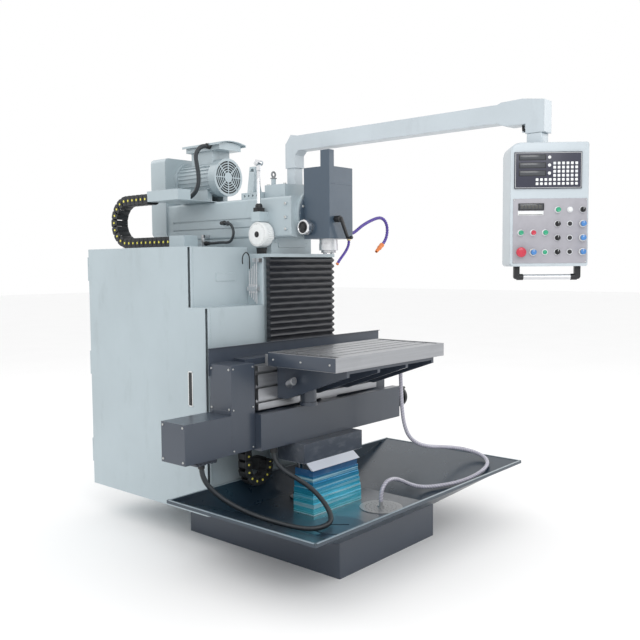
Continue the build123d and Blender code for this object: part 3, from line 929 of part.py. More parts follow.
for name, at in KNOBS.items():
    with BuildPart() as knob:
        head_low = FRONT + 4 + GAP
        face_rod(at, head_low, head_low + 8, 17)
        face_rod(at, head_low, head_low + 24, 13)
        face_rod(at, 80, head_low + 1, STEM_R)
        face_plate((at[0] - 1, at[0] + 1), (at[1] + 2, at[1] + 12), head_low + 23, head_low + 25)
    keep(knob, name)

# ---------------------------------------------------------------- cable chains, hose and conduit
with BuildPart() as y_chain:
    turn_r = (CHAIN_HIGH - CHAIN_LOW) / 2
    with BuildSketch(Plane.YZ.offset(CHAIN_X)):
        with BuildLine():
            Line((CHAIN_FRONT_Y, CHAIN_LOW), (CHAIN_TURN_Y, CHAIN_LOW))
            CenterArc((CHAIN_TURN_Y, CHAIN_LOW + turn_r), turn_r, -90, 180)
            Line((CHAIN_TURN_Y, CHAIN_HIGH), (CHAIN_TOP_Y, CHAIN_HIGH))
        trace(line_width=CHAIN_H)
    extrude(amount=CHAIN_W / 2, both=True)
keep(y_chain, "y_chain")

Z_CHAIN_X, Z_CHAIN_Y, Z_CHAIN_H = (-566.0, -396.0), (118.0, 178.0), 52.0
Z_CHAIN_LOW, Z_CHAIN_FIXED_Z = 362.0, 470.0
with BuildPart() as z_chain:
    turn_x, turn_r = sum(Z_CHAIN_X) / 2, (Z_CHAIN_X[1] - Z_CHAIN_X[0]) / 2
    with BuildSketch(Plane.XZ.offset(-Z_CHAIN_Y[0])):
        with BuildLine():
            Line((Z_CHAIN_X[0], BEAM_COVER_Z[0]), (Z_CHAIN_X[0], Z_CHAIN_LOW + turn_r))
            CenterArc((turn_x, Z_CHAIN_LOW + turn_r), turn_r, 180, 180)
            Line((Z_CHAIN_X[1], Z_CHAIN_LOW + turn_r), (Z_CHAIN_X[1], Z_CHAIN_FIXED_Z))
        trace(line_width=Z_CHAIN_H)
    extrude(amount=-(Z_CHAIN_Y[1] - Z_CHAIN_Y[0]))
    block((Z_CHAIN_X[1] - 20, Z_CHAIN_X[1] + 20), (Z_CHAIN_Y[1] - 1, CABINET_LOW_FRONT),
          (Z_CHAIN_FIXED_Z - 60, Z_CHAIN_FIXED_Z))
keep(z_chain, "z_chain")

KNEE_CONDUIT_D = 27.0
KNEE_CONDUIT = [
    (-945, 80, MOTOR_COVER_Z[0] - 32), (-945, 80, 515), (-930, 74, 466), (-898, 64, 418), (-852, 46, 368),
    (-800, 16, 322), (-750, -34, 282), (-712, -98, 256), (-690, -172, 244), (-676, -246, 238),
    (-644, -318, 226),
    (-586, -372, 214), (-510, -396, 215), (-440, -378, 218), (-392, -336, 240), (-374, -280, 284),
    (-382, -226, 332), (-408, -180, 376), (-448, -138, 414), (-490, -94, 452), (-518, -58, 496),
    (-530, -40, 545), (-530, -40, BEAM_COVER_Z[0]),
]
knee_conduit = cord("knee conduit", KNEE_CONDUIT, KNEE_CONDUIT_D)
keep(knee_conduit, "knee_conduit")

DRAIN_ROUTE = [
    (*DRAIN_AT, TABLE_FOOT - DRAIN_STUB), (400, -240, 950), (399, -243, 870), (399, -247, 780),
    (400, -252, 690), (406, -262, 600), (428, -282, 520), (484, -312, 468), (562, -344, 442),
    (640, -370, 430),
    (716, -396, 418), (786, -440, 404), (824, -508, 388), (822, -580, 372), (784, -638, 354),
    (716, -668, 333),
    (634, -664, 311), (552, -636, 288), (480, -588, 269), (424, -524, 254), (376, -458, 243),
    (324, -412, 250),
    (266, -388, 276), (204, -380, 308), (140, -379, 331), (72, -379, 334), (31, -379, 311),
    (STRAINER_AT[0], STRAINER_AT[1], 270), (STRAINER_AT[0], STRAINER_AT[1], STUB_TOP),
]
drain_hose = cord("drain hose", DRAIN_ROUTE, HOSE_D)
keep(drain_hose, "drain_hose")
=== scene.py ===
"""Looks of a vertical milling machine, laid out as an add-on: a panel lists one operator for each group of pieces."""

import math

import bmesh
import bpy
from bpy.props import FloatProperty, FloatVectorProperty, IntProperty, PointerProperty
from mathutils import Matrix, Vector


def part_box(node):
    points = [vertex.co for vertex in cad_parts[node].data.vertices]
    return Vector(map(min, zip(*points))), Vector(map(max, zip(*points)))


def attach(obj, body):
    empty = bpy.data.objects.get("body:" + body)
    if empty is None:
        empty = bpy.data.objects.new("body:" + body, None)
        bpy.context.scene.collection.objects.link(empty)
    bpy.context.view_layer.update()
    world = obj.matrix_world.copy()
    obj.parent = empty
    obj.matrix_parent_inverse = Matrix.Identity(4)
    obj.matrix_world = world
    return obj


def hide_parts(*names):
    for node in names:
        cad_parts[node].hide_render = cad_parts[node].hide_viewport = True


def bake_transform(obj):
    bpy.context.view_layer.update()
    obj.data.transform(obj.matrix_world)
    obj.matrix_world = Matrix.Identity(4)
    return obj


bl_info = {
    "name": "Vertical Milling Machine",
    "version": (1, 0, 0),
    "blender": (4, 5, 0),
    "location": "View3D > Sidebar > Mill",
    "description": "Builds the finishes and detailed pieces of a vertical milling machine on its fixed frame",
    "category": "Object",
}

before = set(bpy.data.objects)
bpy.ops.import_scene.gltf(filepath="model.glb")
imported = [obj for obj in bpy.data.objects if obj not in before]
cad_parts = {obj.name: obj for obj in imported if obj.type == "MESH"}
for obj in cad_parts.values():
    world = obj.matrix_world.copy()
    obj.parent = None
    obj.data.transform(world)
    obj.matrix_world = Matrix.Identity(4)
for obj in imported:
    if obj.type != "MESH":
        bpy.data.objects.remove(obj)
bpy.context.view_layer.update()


# ---------------------------------------------------------------- sizes and colours
class MillSizes(bpy.types.PropertyGroup):
    """Sizes of the pieces that are made here."""

    pleats: IntProperty(name="Bellows pleats", description="Folds in the way bellows", default=15, min=4)
    pleat_depth: FloatProperty(
        name="Pleat depth", description="Depth of one bellows fold", default=0.015, unit="LENGTH")
    chain_pitch: FloatProperty(
        name="Chain pitch", description="Length of one cable chain link", default=0.046, unit="LENGTH")
    conduit_pitch: FloatProperty(
        name="Conduit pitch", description="Distance between two ribs of a conduit", default=0.007, unit="LENGTH")
    key_size: FloatProperty(name="Key size", description="Side of one keypad key", default=0.0125, unit="LENGTH")
    screw_radius: FloatProperty(
        name="Screw radius", description="Head radius of the cover screws", default=0.0060, unit="LENGTH")


class MillColours(bpy.types.PropertyGroup):
    """Colours of the finishes, in linear light."""

    pale: FloatVectorProperty(
        name="Pale enamel", description="Column, ram and cabinet", subtype="COLOR", default=(0.41, 0.485, 0.52))
    slate: FloatVectorProperty(
        name="Slate enamel", description="Knee, head and plinth", subtype="COLOR", default=(0.040, 0.053, 0.076))
    tray: FloatVectorProperty(
        name="Tray enamel", description="Inside of the chip tray", subtype="COLOR", default=(0.018, 0.035, 0.055))
    film_top: FloatVectorProperty(
        name="Upper film", description="Film on the upper cover plates", subtype="COLOR", default=(0.02, 0.20, 0.42))
    film_low: FloatVectorProperty(
        name="Lower film", description="Film on the lower cover plates", subtype="COLOR", default=(0.02, 0.52, 0.74))
    hose: FloatVectorProperty(
        name="Coolant hose", description="Segments of the coolant hoses", subtype="COLOR", default=(0.07, 0.03, 0.30))
    nozzle: FloatVectorProperty(
        name="Nozzle", description="Coolant nozzle", subtype="COLOR", default=(0.75, 0.22, 0.06))


def sizes():
    return bpy.context.scene.mill_sizes


def colours():
    return bpy.context.scene.mill_colours


# ---------------------------------------------------------------- shader expressions
class Value:
    """A number socket that adds Math nodes when it is used in an expression."""

    def __init__(self, finish, socket):
        self.finish = finish
        self.socket = socket

    def join(self, operation, left, right):
        return self.finish.node("ShaderNodeMath", {"operation": operation}, {0: left, 1: right})

    def __add__(self, other):
        return self.join("ADD", self, other)

    def __sub__(self, other):
        return self.join("SUBTRACT", self, other)

    def __mul__(self, other):
        return self.join("MULTIPLY", self, other)

    def __gt__(self, other):
        return self.join("GREATER_THAN", self, other)

    def __lt__(self, other):
        return self.join("LESS_THAN", self, other)

    def __rsub__(self, other):
        return self.join("SUBTRACT", other, self)

    __radd__ = __add__
    __rmul__ = __mul__


class Finish:
    """A material whose nodes are added one by one around a Principled shader."""

    def __init__(self, name, **constants):
        self.material = bpy.data.materials.new(name)
        self.material.use_nodes = True
        self.tree = self.material.node_tree
        self.tree.nodes.clear()
        self.shader = self.tree.nodes.new("ShaderNodeBsdfPrincipled")
        output = self.tree.nodes.new("ShaderNodeOutputMaterial")
        self.tree.links.new(self.shader.outputs[0], output.inputs["Surface"])
        for key, value in constants.items():
            self.shader.inputs[key.replace("_", " ").title().replace("Ior", "IOR")].default_value = value

    def node(self, kind, settings=None, inputs=None, out=0):
        """One node: settings first, then the values or links of its sockets; returns an output as a Value."""
        made = self.tree.nodes.new(kind)
        for key, value in (settings or {}).items():
            if key == "stops":
                for _ in value[2:]:
                    made.color_ramp.elements.new(0.5)
                for element, (place, colour) in zip(made.color_ramp.elements, value):
                    element.position = place
                    element.color = colour
            elif key == "interpolation":
                made.color_ramp.interpolation = value
            else:
                setattr(made, key, value)
        for key, value in (inputs or {}).items():
            if isinstance(value, Value):
                self.tree.links.new(value.socket, made.inputs[key])
            else:
                made.inputs[key].default_value = value
        return Value(self, made.outputs[out])

    def feed(self, **sockets):
        """Links values to the Principled shader's sockets."""
        for key, value in sockets.items():
            self.tree.links.new(value.socket, self.shader.inputs[key.replace("_", " ").title()])
        return self

    def place(self, stretch=(1, 1, 1)):
        """Coordinates in the part's own frame, in metres, stretched along each axis."""
        here = self.node("ShaderNodeTexCoord", out=3)
        return self.node("ShaderNodeVectorMath", {"operation": "MULTIPLY"}, {0: here, 1: stretch})

    def noise(self, scale, detail=2.0, rough=0.5, stretch=(1, 1, 1)):
        inputs = {"Vector": self.place(stretch), "Scale": scale, "Detail": detail, "Roughness": rough}
        return self.node("ShaderNodeTexNoise", {}, inputs)

    def ramp(self, factor, stops, interpolation="LINEAR"):
        """Colours along a factor; each stop is a place and a colour."""
        full = [(place, (*colour, 1.0)) for place, colour in stops]
        return self.node("ShaderNodeValToRGB", {"stops": full, "interpolation": interpolation}, {0: factor})

    def mix(self, factor, low, high):
        """A colour between two colours."""
        ends = {0: factor, 6: low if isinstance(low, Value) else (*low, 1.0),
                7: high if isinstance(high, Value) else (*high, 1.0)}
        return self.node("ShaderNodeMix", {"data_type": "RGBA"}, ends, out=2)

    def soft_edges(self, radius):
        """A normal that rounds sharp edges over a small radius."""
        return self.node("ShaderNodeBevel", {"samples": 4}, {"Radius": radius})

    def edge_mask(self, soft):
        """One along sharp edges and zero on flats."""
        flat = self.node("ShaderNodeNewGeometry", out=1)
        same = self.node("ShaderNodeVectorMath", {"operation": "DOT_PRODUCT"}, {0: soft, 1: flat}, out=1)
        return same < 0.93

    def bump(self, height, strength, distance, normal=None):
        inputs = {"Height": height, "Strength": strength, "Distance": distance}
        if normal is not None:
            inputs["Normal"] = normal
        return self.node("ShaderNodeBump", {}, inputs)


def scaled(colour, factor):
    """A colour made darker or lighter."""
    return tuple(min(1.0, channel * factor) for channel in colour)


FINISHES = {}


def finish(name):
    return FINISHES[name]


def enamel(name, colour, roughness=0.34, grain=0.10, radius=0.003, dust=0.0):
    """Sprayed machine enamel: orange peel, soft edges with thin wear, and slow variation of tone."""
    paint = Finish(name, coat_weight=0.35, coat_roughness=0.22, specular_ior_level=0.5)
    cloud = paint.noise(2.2, 4.0, 0.6)
    tone = paint.mix(cloud, scaled(colour, 0.88), scaled(colour, 1.10))
    grime = paint.noise(9.0, 6.0, 0.65, (1, 1, 0.35)) - 0.56
    tone = paint.mix(grime * 1.4, tone, scaled(colour, 0.62 + dust))
    soft = paint.soft_edges(radius)
    edge = paint.edge_mask(soft) * (paint.noise(38.0, 3.0) > 0.47)
    tone = paint.mix(edge * 0.55, tone, scaled(colour, 1.55))
    peel = paint.noise(420.0, 2.0)
    rough = roughness + (paint.noise(14.0, 3.0) - 0.5) * 0.16
    normal = paint.bump(peel, grain, 0.0006, soft)
    return paint.feed(base_color=tone, roughness=rough, normal=normal).material


def machined(name, colour, stretch, roughness=0.30, metallic=1.0, radius=0.002, streak=0.08):
    """Ground or milled metal with fine marks along one direction."""
    metal = Finish(name, metallic=metallic, anisotropic=0.3)
    marks = metal.noise(60.0, 5.0, 0.7, stretch)
    cloud = metal.noise(5.0, 4.0, 0.6)
    tone = metal.mix(marks, scaled(colour, 0.72), scaled(colour, 1.18))
    tone = metal.mix((cloud - 0.5) * 0.8, tone, scaled(colour, 0.55))
    soft = metal.soft_edges(radius)
    normal = metal.bump(marks, streak, 0.0005, soft)
    rough = roughness + (marks - 0.5) * 0.25
    return metal.feed(base_color=tone, roughness=rough, normal=normal).material


def moulded(name, colour, roughness=0.42, grain=0.12, coat=0.0, radius=0.0012):
    """Moulded plastic or rubber with a fine grain and slight handling marks."""
    plastic = Finish(name, coat_weight=coat, coat_roughness=0.12)
    fine = plastic.noise(700.0, 2.0)
    wear = plastic.noise(22.0, 4.0, 0.6)
    tone = plastic.mix(wear, scaled(colour, 0.86), scaled(colour, 1.16))
    rough = roughness + (wear - 0.5) * 0.2
    normal = plastic.bump(fine, grain, 0.0004, plastic.soft_edges(radius))
    return plastic.feed(base_color=tone, roughness=rough, normal=normal).material


def cast(name, colour, roughness=0.62):
    """Raw or thinly painted casting with a coarse skin."""
    iron = Finish(name, metallic=0.25)
    skin = iron.noise(120.0, 6.0, 0.65)
    patch = iron.noise(7.0, 4.0, 0.6)
    tone = iron.mix(patch, scaled(colour, 0.75), scaled(colour, 1.25))
    soft = iron.soft_edges(0.003)
    edge = iron.edge_mask(soft)
    tone = iron.mix(edge * 0.4, tone, scaled(colour, 1.9))
    normal = iron.bump(skin, 0.28, 0.0012, soft)
    return iron.feed(base_color=tone, roughness=roughness + (skin - 0.5) * 0.2, normal=normal).material


def film(name, top, low, bands):
    """Sheet steel under a shiny protective film: creased, with colour that changes with height, a painted highlight
    on the crease ridges and painted shade in the crease hollows.
    """
    sheet = Finish(name, metallic=0.55, coat_weight=0.7, coat_roughness=0.08)
    height = sheet.node("ShaderNodeSeparateXYZ", {}, {0: sheet.place()}, out=2)
    tone = sheet.ramp((height - bands[0]) * (1 / (bands[1] - bands[0])), [(0.0, low), (1.0, top)])
    crease_and_painted_light = sheet.noise(26.0, 3.0, 0.5, (0.04, 0.04, 3.6))
    # Painted highlight: pale cyan on the crease ridges.
    tone = sheet.mix((crease_and_painted_light - 0.50) * 5.0, tone, (0.50, 0.80, 0.90))
    # Painted shade: dark blue in the crease hollows.
    tone = sheet.mix((0.42 - crease_and_painted_light) * 5.0, tone, (0.01, 0.10, 0.24))
    normal = sheet.bump(crease_and_painted_light, 0.45, 0.006, sheet.soft_edges(0.0015))
    rough = 0.16 + crease_and_painted_light * 0.22
    return sheet.feed(base_color=tone, roughness=rough, normal=normal).material


def banded(name, bands, roughness=0.35):
    """One casting or sheet with painted zones by height; each band is its lower edge and a colour."""
    low, high = bands[0][0], bands[-1][0] + 0.2
    zone = Finish(name, coat_weight=0.4, coat_roughness=0.15)
    height = zone.node("ShaderNodeSeparateXYZ", {}, {0: zone.place()}, out=2)
    stops = [((edge - low) / (high - low), colour) for edge, colour in bands]
    tone = zone.ramp((height - low) * (1 / (high - low)), stops, "CONSTANT")
    crease_and_painted_light = zone.noise(30.0, 4.0, 0.6, (0.4, 1, 1))
    # Painted reflection: light grey streaks that run along x.
    tone = zone.mix((crease_and_painted_light - 0.5) * 0.5, tone, (0.5, 0.55, 0.6))
    normal = zone.bump(crease_and_painted_light, 0.12, 0.003, zone.soft_edges(0.002))
    return zone.feed(base_color=tone, roughness=roughness + (crease_and_painted_light - 0.5) * 0.2, normal=normal).material


def tank_covers(name, painted, bare, edge):
    """Two round covers made as one piece: painted on one side of a line across the tray, bare steel on the other."""
    lid = Finish(name)
    across = lid.node("ShaderNodeSeparateXYZ", {}, {0: lid.place()}, out=0)
    steel = across > edge
    scratch = lid.noise(80.0, 5.0, 0.7, (1, 0.2, 1))
    tone = lid.mix(steel, lid.mix(scratch, scaled(painted, 0.7), scaled(painted, 1.5)),
                   lid.mix(scratch, scaled(bare, 0.6), scaled(bare, 1.2)))
    normal = lid.bump(scratch, 0.1, 0.0006, lid.soft_edges(0.001))
    return lid.feed(base_color=tone, metallic=steel * 0.8, roughness=0.3 + scratch * 0.2, normal=normal).material


def fabric(name, colour):
    """Coated bellows fabric: fine weave, dusty peaks."""
    cloth = Finish(name, coat_weight=0.2, coat_roughness=0.25)
    weave = cloth.noise(900.0, 1.0, 0.5, (1, 0.3, 1))
    dust = cloth.noise(12.0, 5.0, 0.7, (0.5, 1, 1))
    tone = cloth.mix((dust - 0.5) * 1.2, colour, scaled(colour, 1.8))
    normal = cloth.bump(weave, 0.2, 0.0006)
    return cloth.feed(base_color=tone, roughness=0.34 + (dust - 0.5) * 0.2, normal=normal).material


def make_finishes():
    """Every finish of the machine, by its plain name."""
    paint = colours()
    FINISHES.update({
        "pale": enamel("pale_enamel", paint.pale),
        "slate": enamel("slate_enamel", paint.slate, 0.36, 0.14),
        "tray": enamel("tray_enamel", paint.tray, 0.30, 0.10, 0.004),
        "arm": enamel("arm_enamel", (0.50, 0.56, 0.60), 0.40, 0.06, 0.006),
        "steel_x": machined("ground_steel_x", (0.40, 0.41, 0.43), (0.02, 1, 1), 0.36, 0.85),
        "steel": machined("turned_steel", (0.55, 0.56, 0.58), (1, 1, 0.05), 0.24),
        "satin": machined("satin_steel", (0.70, 0.71, 0.73), (1, 1, 1), 0.34, 0.9),
        "chrome": machined("chrome_plate", (0.80, 0.81, 0.83), (1, 1, 1), 0.08, 1.0, 0.001, 0.02),
        "zinc": machined("zinc_screw", (0.66, 0.67, 0.66), (1, 1, 1), 0.30),
        "brass": machined("brass_fitting", (0.62, 0.50, 0.30), (1, 1, 1), 0.30),
        "cast": cast("grey_casting", (0.25, 0.26, 0.27)),
        "head": enamel("head_enamel", (0.050, 0.078, 0.112), 0.38, 0.18),
        # Light slate for the strips on the tray's rim top: a painted highlight.
        "rim": enamel("rim_highlight_enamel", (0.24, 0.30, 0.34), 0.30, 0.06, 0.002),
        "black": moulded("black_plastic", (0.012, 0.013, 0.015)),
        "rubber": moulded("black_rubber", (0.016, 0.018, 0.020), 0.55, 0.2),
        "conduit": moulded("conduit_plastic", (0.022, 0.028, 0.034), 0.46, 0.1, 0.2),
        "yellow": moulded("yellow_plug", (0.80, 0.72, 0.10), 0.4),
        "red": moulded("red_cap", (0.50, 0.02, 0.05), 0.28, 0.05, 0.5),
        "green": moulded("green_cap", (0.01, 0.33, 0.17), 0.28, 0.05, 0.5),
        "blue": moulded("blue_cap", (0.05, 0.20, 0.50), 0.32, 0.06, 0.4),
        "white": moulded("white_cap", (0.78, 0.80, 0.80), 0.35, 0.05, 0.3),
        "bezel": moulded("silver_bezel", (0.70, 0.72, 0.74), 0.4, 0.04, 0.2),
        "face": moulded("panel_face", (0.36, 0.355, 0.39), 0.42, 0.05),
        "screen": moulded("screen_glass", (0.026, 0.028, 0.050), 0.42, 0.02, 0.12),
        "window": moulded("digit_window", (0.045, 0.050, 0.058), 0.22, 0.02, 0.5),
        "digit": moulded("unlit_digit", (0.075, 0.075, 0.070), 0.35, 0.03),
        "orange": moulded("nozzle_orange", paint.nozzle, 0.35),
        "hose": moulded("segment_hose", paint.hose, 0.28, 0.05, 0.5),
        "drain": moulded("clear_hose", (0.44, 0.43, 0.52), 0.22, 0.04, 0.6),
        "bellows": fabric("bellows_fabric", (0.010, 0.012, 0.017)),
        "film_1": film("film_bottom", (0.04, 0.55, 0.76), (0.10, 0.62, 0.74), (0.19, 0.24)),
        "film_2": film("film_second", (0.02, 0.40, 0.64), paint.film_low, (0.29, 0.33)),
        "film_3": film("film_third", (0.02, 0.28, 0.54), (0.02, 0.44, 0.68), (0.33, 0.37)),
        "film_4": film("film_fourth", paint.film_top, (0.02, 0.32, 0.58), (0.37, 0.41)),
        "apron": banded("apron_zones", [(0.30, (0.015, 0.09, 0.22)), (0.441, (0.62, 0.66, 0.74)),
                                        (0.4795, tuple(paint.slate))]),
        "belt": moulded("belt_rubber", (0.012, 0.012, 0.012), 0.6, 0.3),
        "lids": tank_covers("tray_cover_metal", (0.035, 0.060, 0.085), (0.42, 0.43, 0.44), -0.2),
    })


# ---------------------------------------------------------------- mesh tools
def local_frame(origin, x_axis, z_axis):
    """A placement whose x and z run along two directions."""
    z = Vector(z_axis).normalized()
    x = Vector(x_axis).normalized()
    y = z.cross(x)
    turn = Matrix((x, y, z)).transposed().to_4x4()
    return Matrix.Translation(Vector(origin)) @ turn


def along_x(x, y, z, reverse=False):
    """A placement at a point whose z runs along the machine's x."""
    return local_frame((x, y, z), (0, 1, 0), (-1, 0, 0) if reverse else (1, 0, 0))


def along_y(x, y, z, reverse=True):
    """A placement at a point whose z runs towards the operator."""
    return local_frame((x, y, z), (1, 0, 0), (0, -1, 0) if reverse else (0, 1, 0))


def upright(x, y, z):
    return Matrix.Translation(Vector((x, y, z)))


def add_box(bm, low, high, bevel=0.0, place=None, finish_index=0, segments=2):
    """A box with rounded edges between two corners."""
    size = [b - a for a, b in zip(low, high)]
    middle = [(a + b) / 2 for a, b in zip(low, high)]
    matrix = Matrix.Translation(Vector(middle)) @ Matrix.Diagonal((*size, 1.0))
    made = bmesh.ops.create_cube(bm, size=1.0, matrix=(place or Matrix()) @ matrix)
    faces = {face for vert in made["verts"] for face in vert.link_faces}
    for face in faces:
        face.material_index = finish_index
    if bevel:
        edges = list({edge for vert in made["verts"] for edge in vert.link_edges})
        bmesh.ops.bevel(bm, geom=edges, offset=min(bevel, min(size) * 0.45), segments=segments,
                        profile=0.5, affect="EDGES", clamp_overlap=True, material=-1)


def add_lathe(bm, profile, place, finish_index=0, segments=40):
    """A turned shape: a profile of radius and height about the placement's z."""
    rings = []
    for radius, height in profile:
        if radius <= 1e-7:
            rings.append([bm.verts.new(place @ Vector((0, 0, height)))])
            continue
        ring = []
        for step in range(segments):
            angle = math.tau * step / segments
            point = Vector((radius * math.cos(angle), radius * math.sin(angle), height))
            ring.append(bm.verts.new(place @ point))
        rings.append(ring)
    for low, high in zip(rings, rings[1:]):
        for step in range(segments):
            after = (step + 1) % segments
            corners = [low[step % len(low)], low[after % len(low)], high[after % len(high)], high[step % len(high)]]
            kept = list(dict.fromkeys(corners))
            if len(kept) >= 3:
                face = bm.faces.new(kept)
                face.material_index = finish_index
    return rings


def add_prism(bm, outline, low, high, place, finish_index=0, bevel=0.0):
    """A flat shape with a given outline, from one depth to another along the placement's z."""
    base = [bm.verts.new(place @ Vector((u, v, low))) for u, v in outline]
    top = [bm.verts.new(place @ Vector((u, v, high))) for u, v in outline]
    faces = [bm.faces.new(list(reversed(base))), bm.faces.new(top)]
    count = len(outline)
    for step in range(count):
        after = (step + 1) % count
        faces.append(bm.faces.new([base[step], base[after], top[after], top[step]]))
    for face in faces:
        face.material_index = finish_index
    if bevel:
        rim = [edge for edge in faces[1].edges]
        bmesh.ops.bevel(bm, geom=rim, offset=bevel, segments=2, profile=0.5, affect="EDGES",
                        clamp_overlap=True, material=-1)


def rounded(low, high, radius, steps=6):
    """The outline of a rectangle with round corners; radius is one value or one for each corner."""
    radii = [radius] * 4 if isinstance(radius, (int, float)) else radius
    corners = [(high[0], high[1]), (low[0], high[1]), (low[0], low[1]), (high[0], low[1])]
    points = []
    for index, ((u, v), r) in enumerate(zip(corners, radii)):
        side_u = -1 if index in (0, 3) else 1
        side_v = -1 if index in (0, 1) else 1
        for step in range(steps + 1):
            angle = math.radians(90 * index + 90 * step / steps)
            points.append((u + side_u * r + r * math.cos(angle), v + side_v * r + r * math.sin(angle)))
            if r == 0:
                break
    return points


def add_tube(bm, points, radii, finish_index=0, sides=16, caps=True):
    """A tube along points with a radius at each, kept from twisting."""
    turn = None
    rings = []
    for index, point in enumerate(points):
        ahead = points[min(index + 1, len(points) - 1)] - points[max(index - 1, 0)]
        heading = ahead.normalized()
        if turn is None:
            side = heading.orthogonal().normalized()
        else:
            side = (turn - heading * turn.dot(heading)).normalized()
        turn = side
        other = heading.cross(side)
        radius = radii[index] if hasattr(radii, "__len__") else radii
        angles = [math.tau * s / sides for s in range(sides)]
        ring = [bm.verts.new(point + (side * math.cos(angle) + other * math.sin(angle)) * radius)
                for angle in angles]
        rings.append(ring)
    for low, high in zip(rings, rings[1:]):
        for s in range(sides):
            face = bm.faces.new([low[s], low[(s + 1) % sides], high[(s + 1) % sides], high[s]])
            face.material_index = finish_index
    if caps:
        bm.faces.new(list(reversed(rings[0]))).material_index = finish_index
        bm.faces.new(rings[-1]).material_index = finish_index


def make_piece(name, bm, finishes, body=None, sharp=32.0):
    """Turns a mesh under construction into a piece that rides on a body."""
    bmesh.ops.recalc_face_normals(bm, faces=bm.faces)
    mesh = bpy.data.meshes.new(name)
    bm.to_mesh(mesh)
    bm.free()
    for item in finishes:
        mesh.materials.append(finish(item))
    mesh.polygons.foreach_set("use_smooth", [True] * len(mesh.polygons))
    mesh.set_sharp_from_angle(angle=math.radians(sharp))
    piece = bpy.data.objects.new(name, mesh)
    bpy.context.scene.collection.objects.link(piece)
    if body:
        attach(piece, body)
    return piece


def spline_line(route, step):
    """Points at an even step along the smooth curve that a route's points control."""
    curve = bpy.data.curves.new("route", "CURVE")
    curve.dimensions = "3D"
    curve.resolution_u = 16
    spline = curve.splines.new("NURBS")
    spline.points.add(len(route) - 1)
    for point, place in zip(spline.points, route):
        point.co = (*place, 1.0)
    spline.order_u = 3
    spline.use_endpoint_u = True
    guide = bpy.data.objects.new("route", curve)
    bpy.context.scene.collection.objects.link(guide)
    bpy.context.view_layer.update()
    mesh = bpy.data.meshes.new_from_object(guide.evaluated_get(bpy.context.evaluated_depsgraph_get()))
    raw = [vert.co.copy() for vert in mesh.vertices]
    bpy.data.objects.remove(guide)
    bpy.data.curves.remove(curve)
    bpy.data.meshes.remove(mesh)
    total = sum((b - a).length for a, b in zip(raw, raw[1:]))
    count = max(2, round(total / step))
    wanted = [total * index / count for index in range(count + 1)]
    line, gone, cursor = [], 0.0, 0
    for distance in wanted:
        while cursor < len(raw) - 2 and gone + (raw[cursor + 1] - raw[cursor]).length < distance:
            gone += (raw[cursor + 1] - raw[cursor]).length
            cursor += 1
        span = (raw[cursor + 1] - raw[cursor]).length
        share = min(1.0, (distance - gone) / span) if span else 0.0
        line.append(raw[cursor].lerp(raw[cursor + 1], share))
    return line


def screw(bm, place, radius, finish_index=0):
    """A socket cap screw's head."""
    r = radius
    outline = [(0, 0.2 * r), (0.5 * r, 0.2 * r), (0.5 * r, 0.75 * r), (0.85 * r, 0.75 * r), (r, 0.6 * r),
               (r, -0.3 * r)]
    add_lathe(bm, outline, place, finish_index, 12)


def paint(node, name):
    """Gives a frame node one of the finishes."""
    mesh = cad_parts[node].data
    if not mesh.materials:
        mesh.materials.append(finish(name))
    for index in range(len(mesh.materials)):
        mesh.materials[index] = finish(name)


# ---------------------------------------------------------------- operators
class MillOperator(bpy.types.Operator):
    """Base of the machine's operators."""

    bl_options = {"REGISTER", "UNDO"}


class MILL_OT_finishes(MillOperator):
    """Paints every frame node that stays in view"""

    bl_idname = "mill.finishes"
    bl_label = "Paint the castings and covers"

    NODE_FINISH = {
        "pale": ["column", "cabinet_body", "cabinet_door", "ram", "ram_brackets", "belt_cover", "motor_body"],
        "arm": ["pendant_arm"],
        "slate": ["base_plinth", "knee_casting", "beam_cover", "side_guard", "motor_cover", "angle_bracket"],
        "head": ["head_housing"],
        "tray": ["chip_tray"],
        "lids": ["tray_covers"],
        "steel_x": ["vertical_table", "horizontal_table"],
        "steel": ["z_screw", "x_drive", "motor_rotor", "drive_shaft", "spindle"],
        "satin": ["quill", "oil_distributor"],
        "face": ["electrical_panel"],
        "belt": ["drive_belt"],
        "film_1": ["cover_plate_1"],
        "film_2": ["cover_plate_2"],
        "film_3": ["cover_plate_3"],
        "film_4": ["cover_plate_4"],
        "apron": ["cover_apron"],
        "black": ["door_handle"],
    }

    def execute(self, context):
        make_finishes()
        for name, nodes in self.NODE_FINISH.items():
            for node in nodes:
                paint(node, name)
        return {"FINISHED"}


class MILL_OT_bellows(MillOperator):
    """Folds the way bellows between the column's head plate and the knee"""

    bl_idname = "mill.bellows"
    bl_label = "Way bellows"

    def execute(self, context):
        low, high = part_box("way_bellows")
        pleats, depth = sizes().pleats, sizes().pleat_depth
        steps = 8
        profile = []
        for index in range(pleats * steps + 1):
            z = low.z + (high.z - low.z) * index / (pleats * steps)
            fold = 0.5 - 0.5 * math.cos(math.tau * index / steps)
            profile.append((low.y + depth * (1 - fold ** 0.55), z, fold))
        bm = bmesh.new()
        columns = []
        stations = 14
        for station in range(stations + 1):
            share = station / stations
            x = low.x + (high.x - low.x) * share
            edge = min(share, 1 - share) * stations
            column = []
            for y, z, fold in profile:
                tuck = 0.006 * (1 - fold) if edge == 0 else 0.0
                sag = 0.0016 * math.sin(station * 1.7 + z * 90)
                column.append(bm.verts.new((x + (tuck if share < 0.5 else -tuck), y + sag * (edge > 0), z)))
            columns.append(column)
        for left, right in zip(columns, columns[1:]):
            for index in range(len(profile) - 1):
                bm.faces.new([left[index], right[index], right[index + 1], left[index + 1]])
        for side, column in ((low.x, columns[0]), (high.x, columns[-1])):
            back = [bm.verts.new((side, high.y, z)) for y, z, fold in profile]
            for index in range(len(profile) - 1):
                bm.faces.new([column[index], column[index + 1], back[index + 1], back[index]])
        bellows = make_piece("bellows_folds", bm, ["bellows"], sharp=60)
        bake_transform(bellows)
        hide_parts("way_bellows")
        return {"FINISHED"}


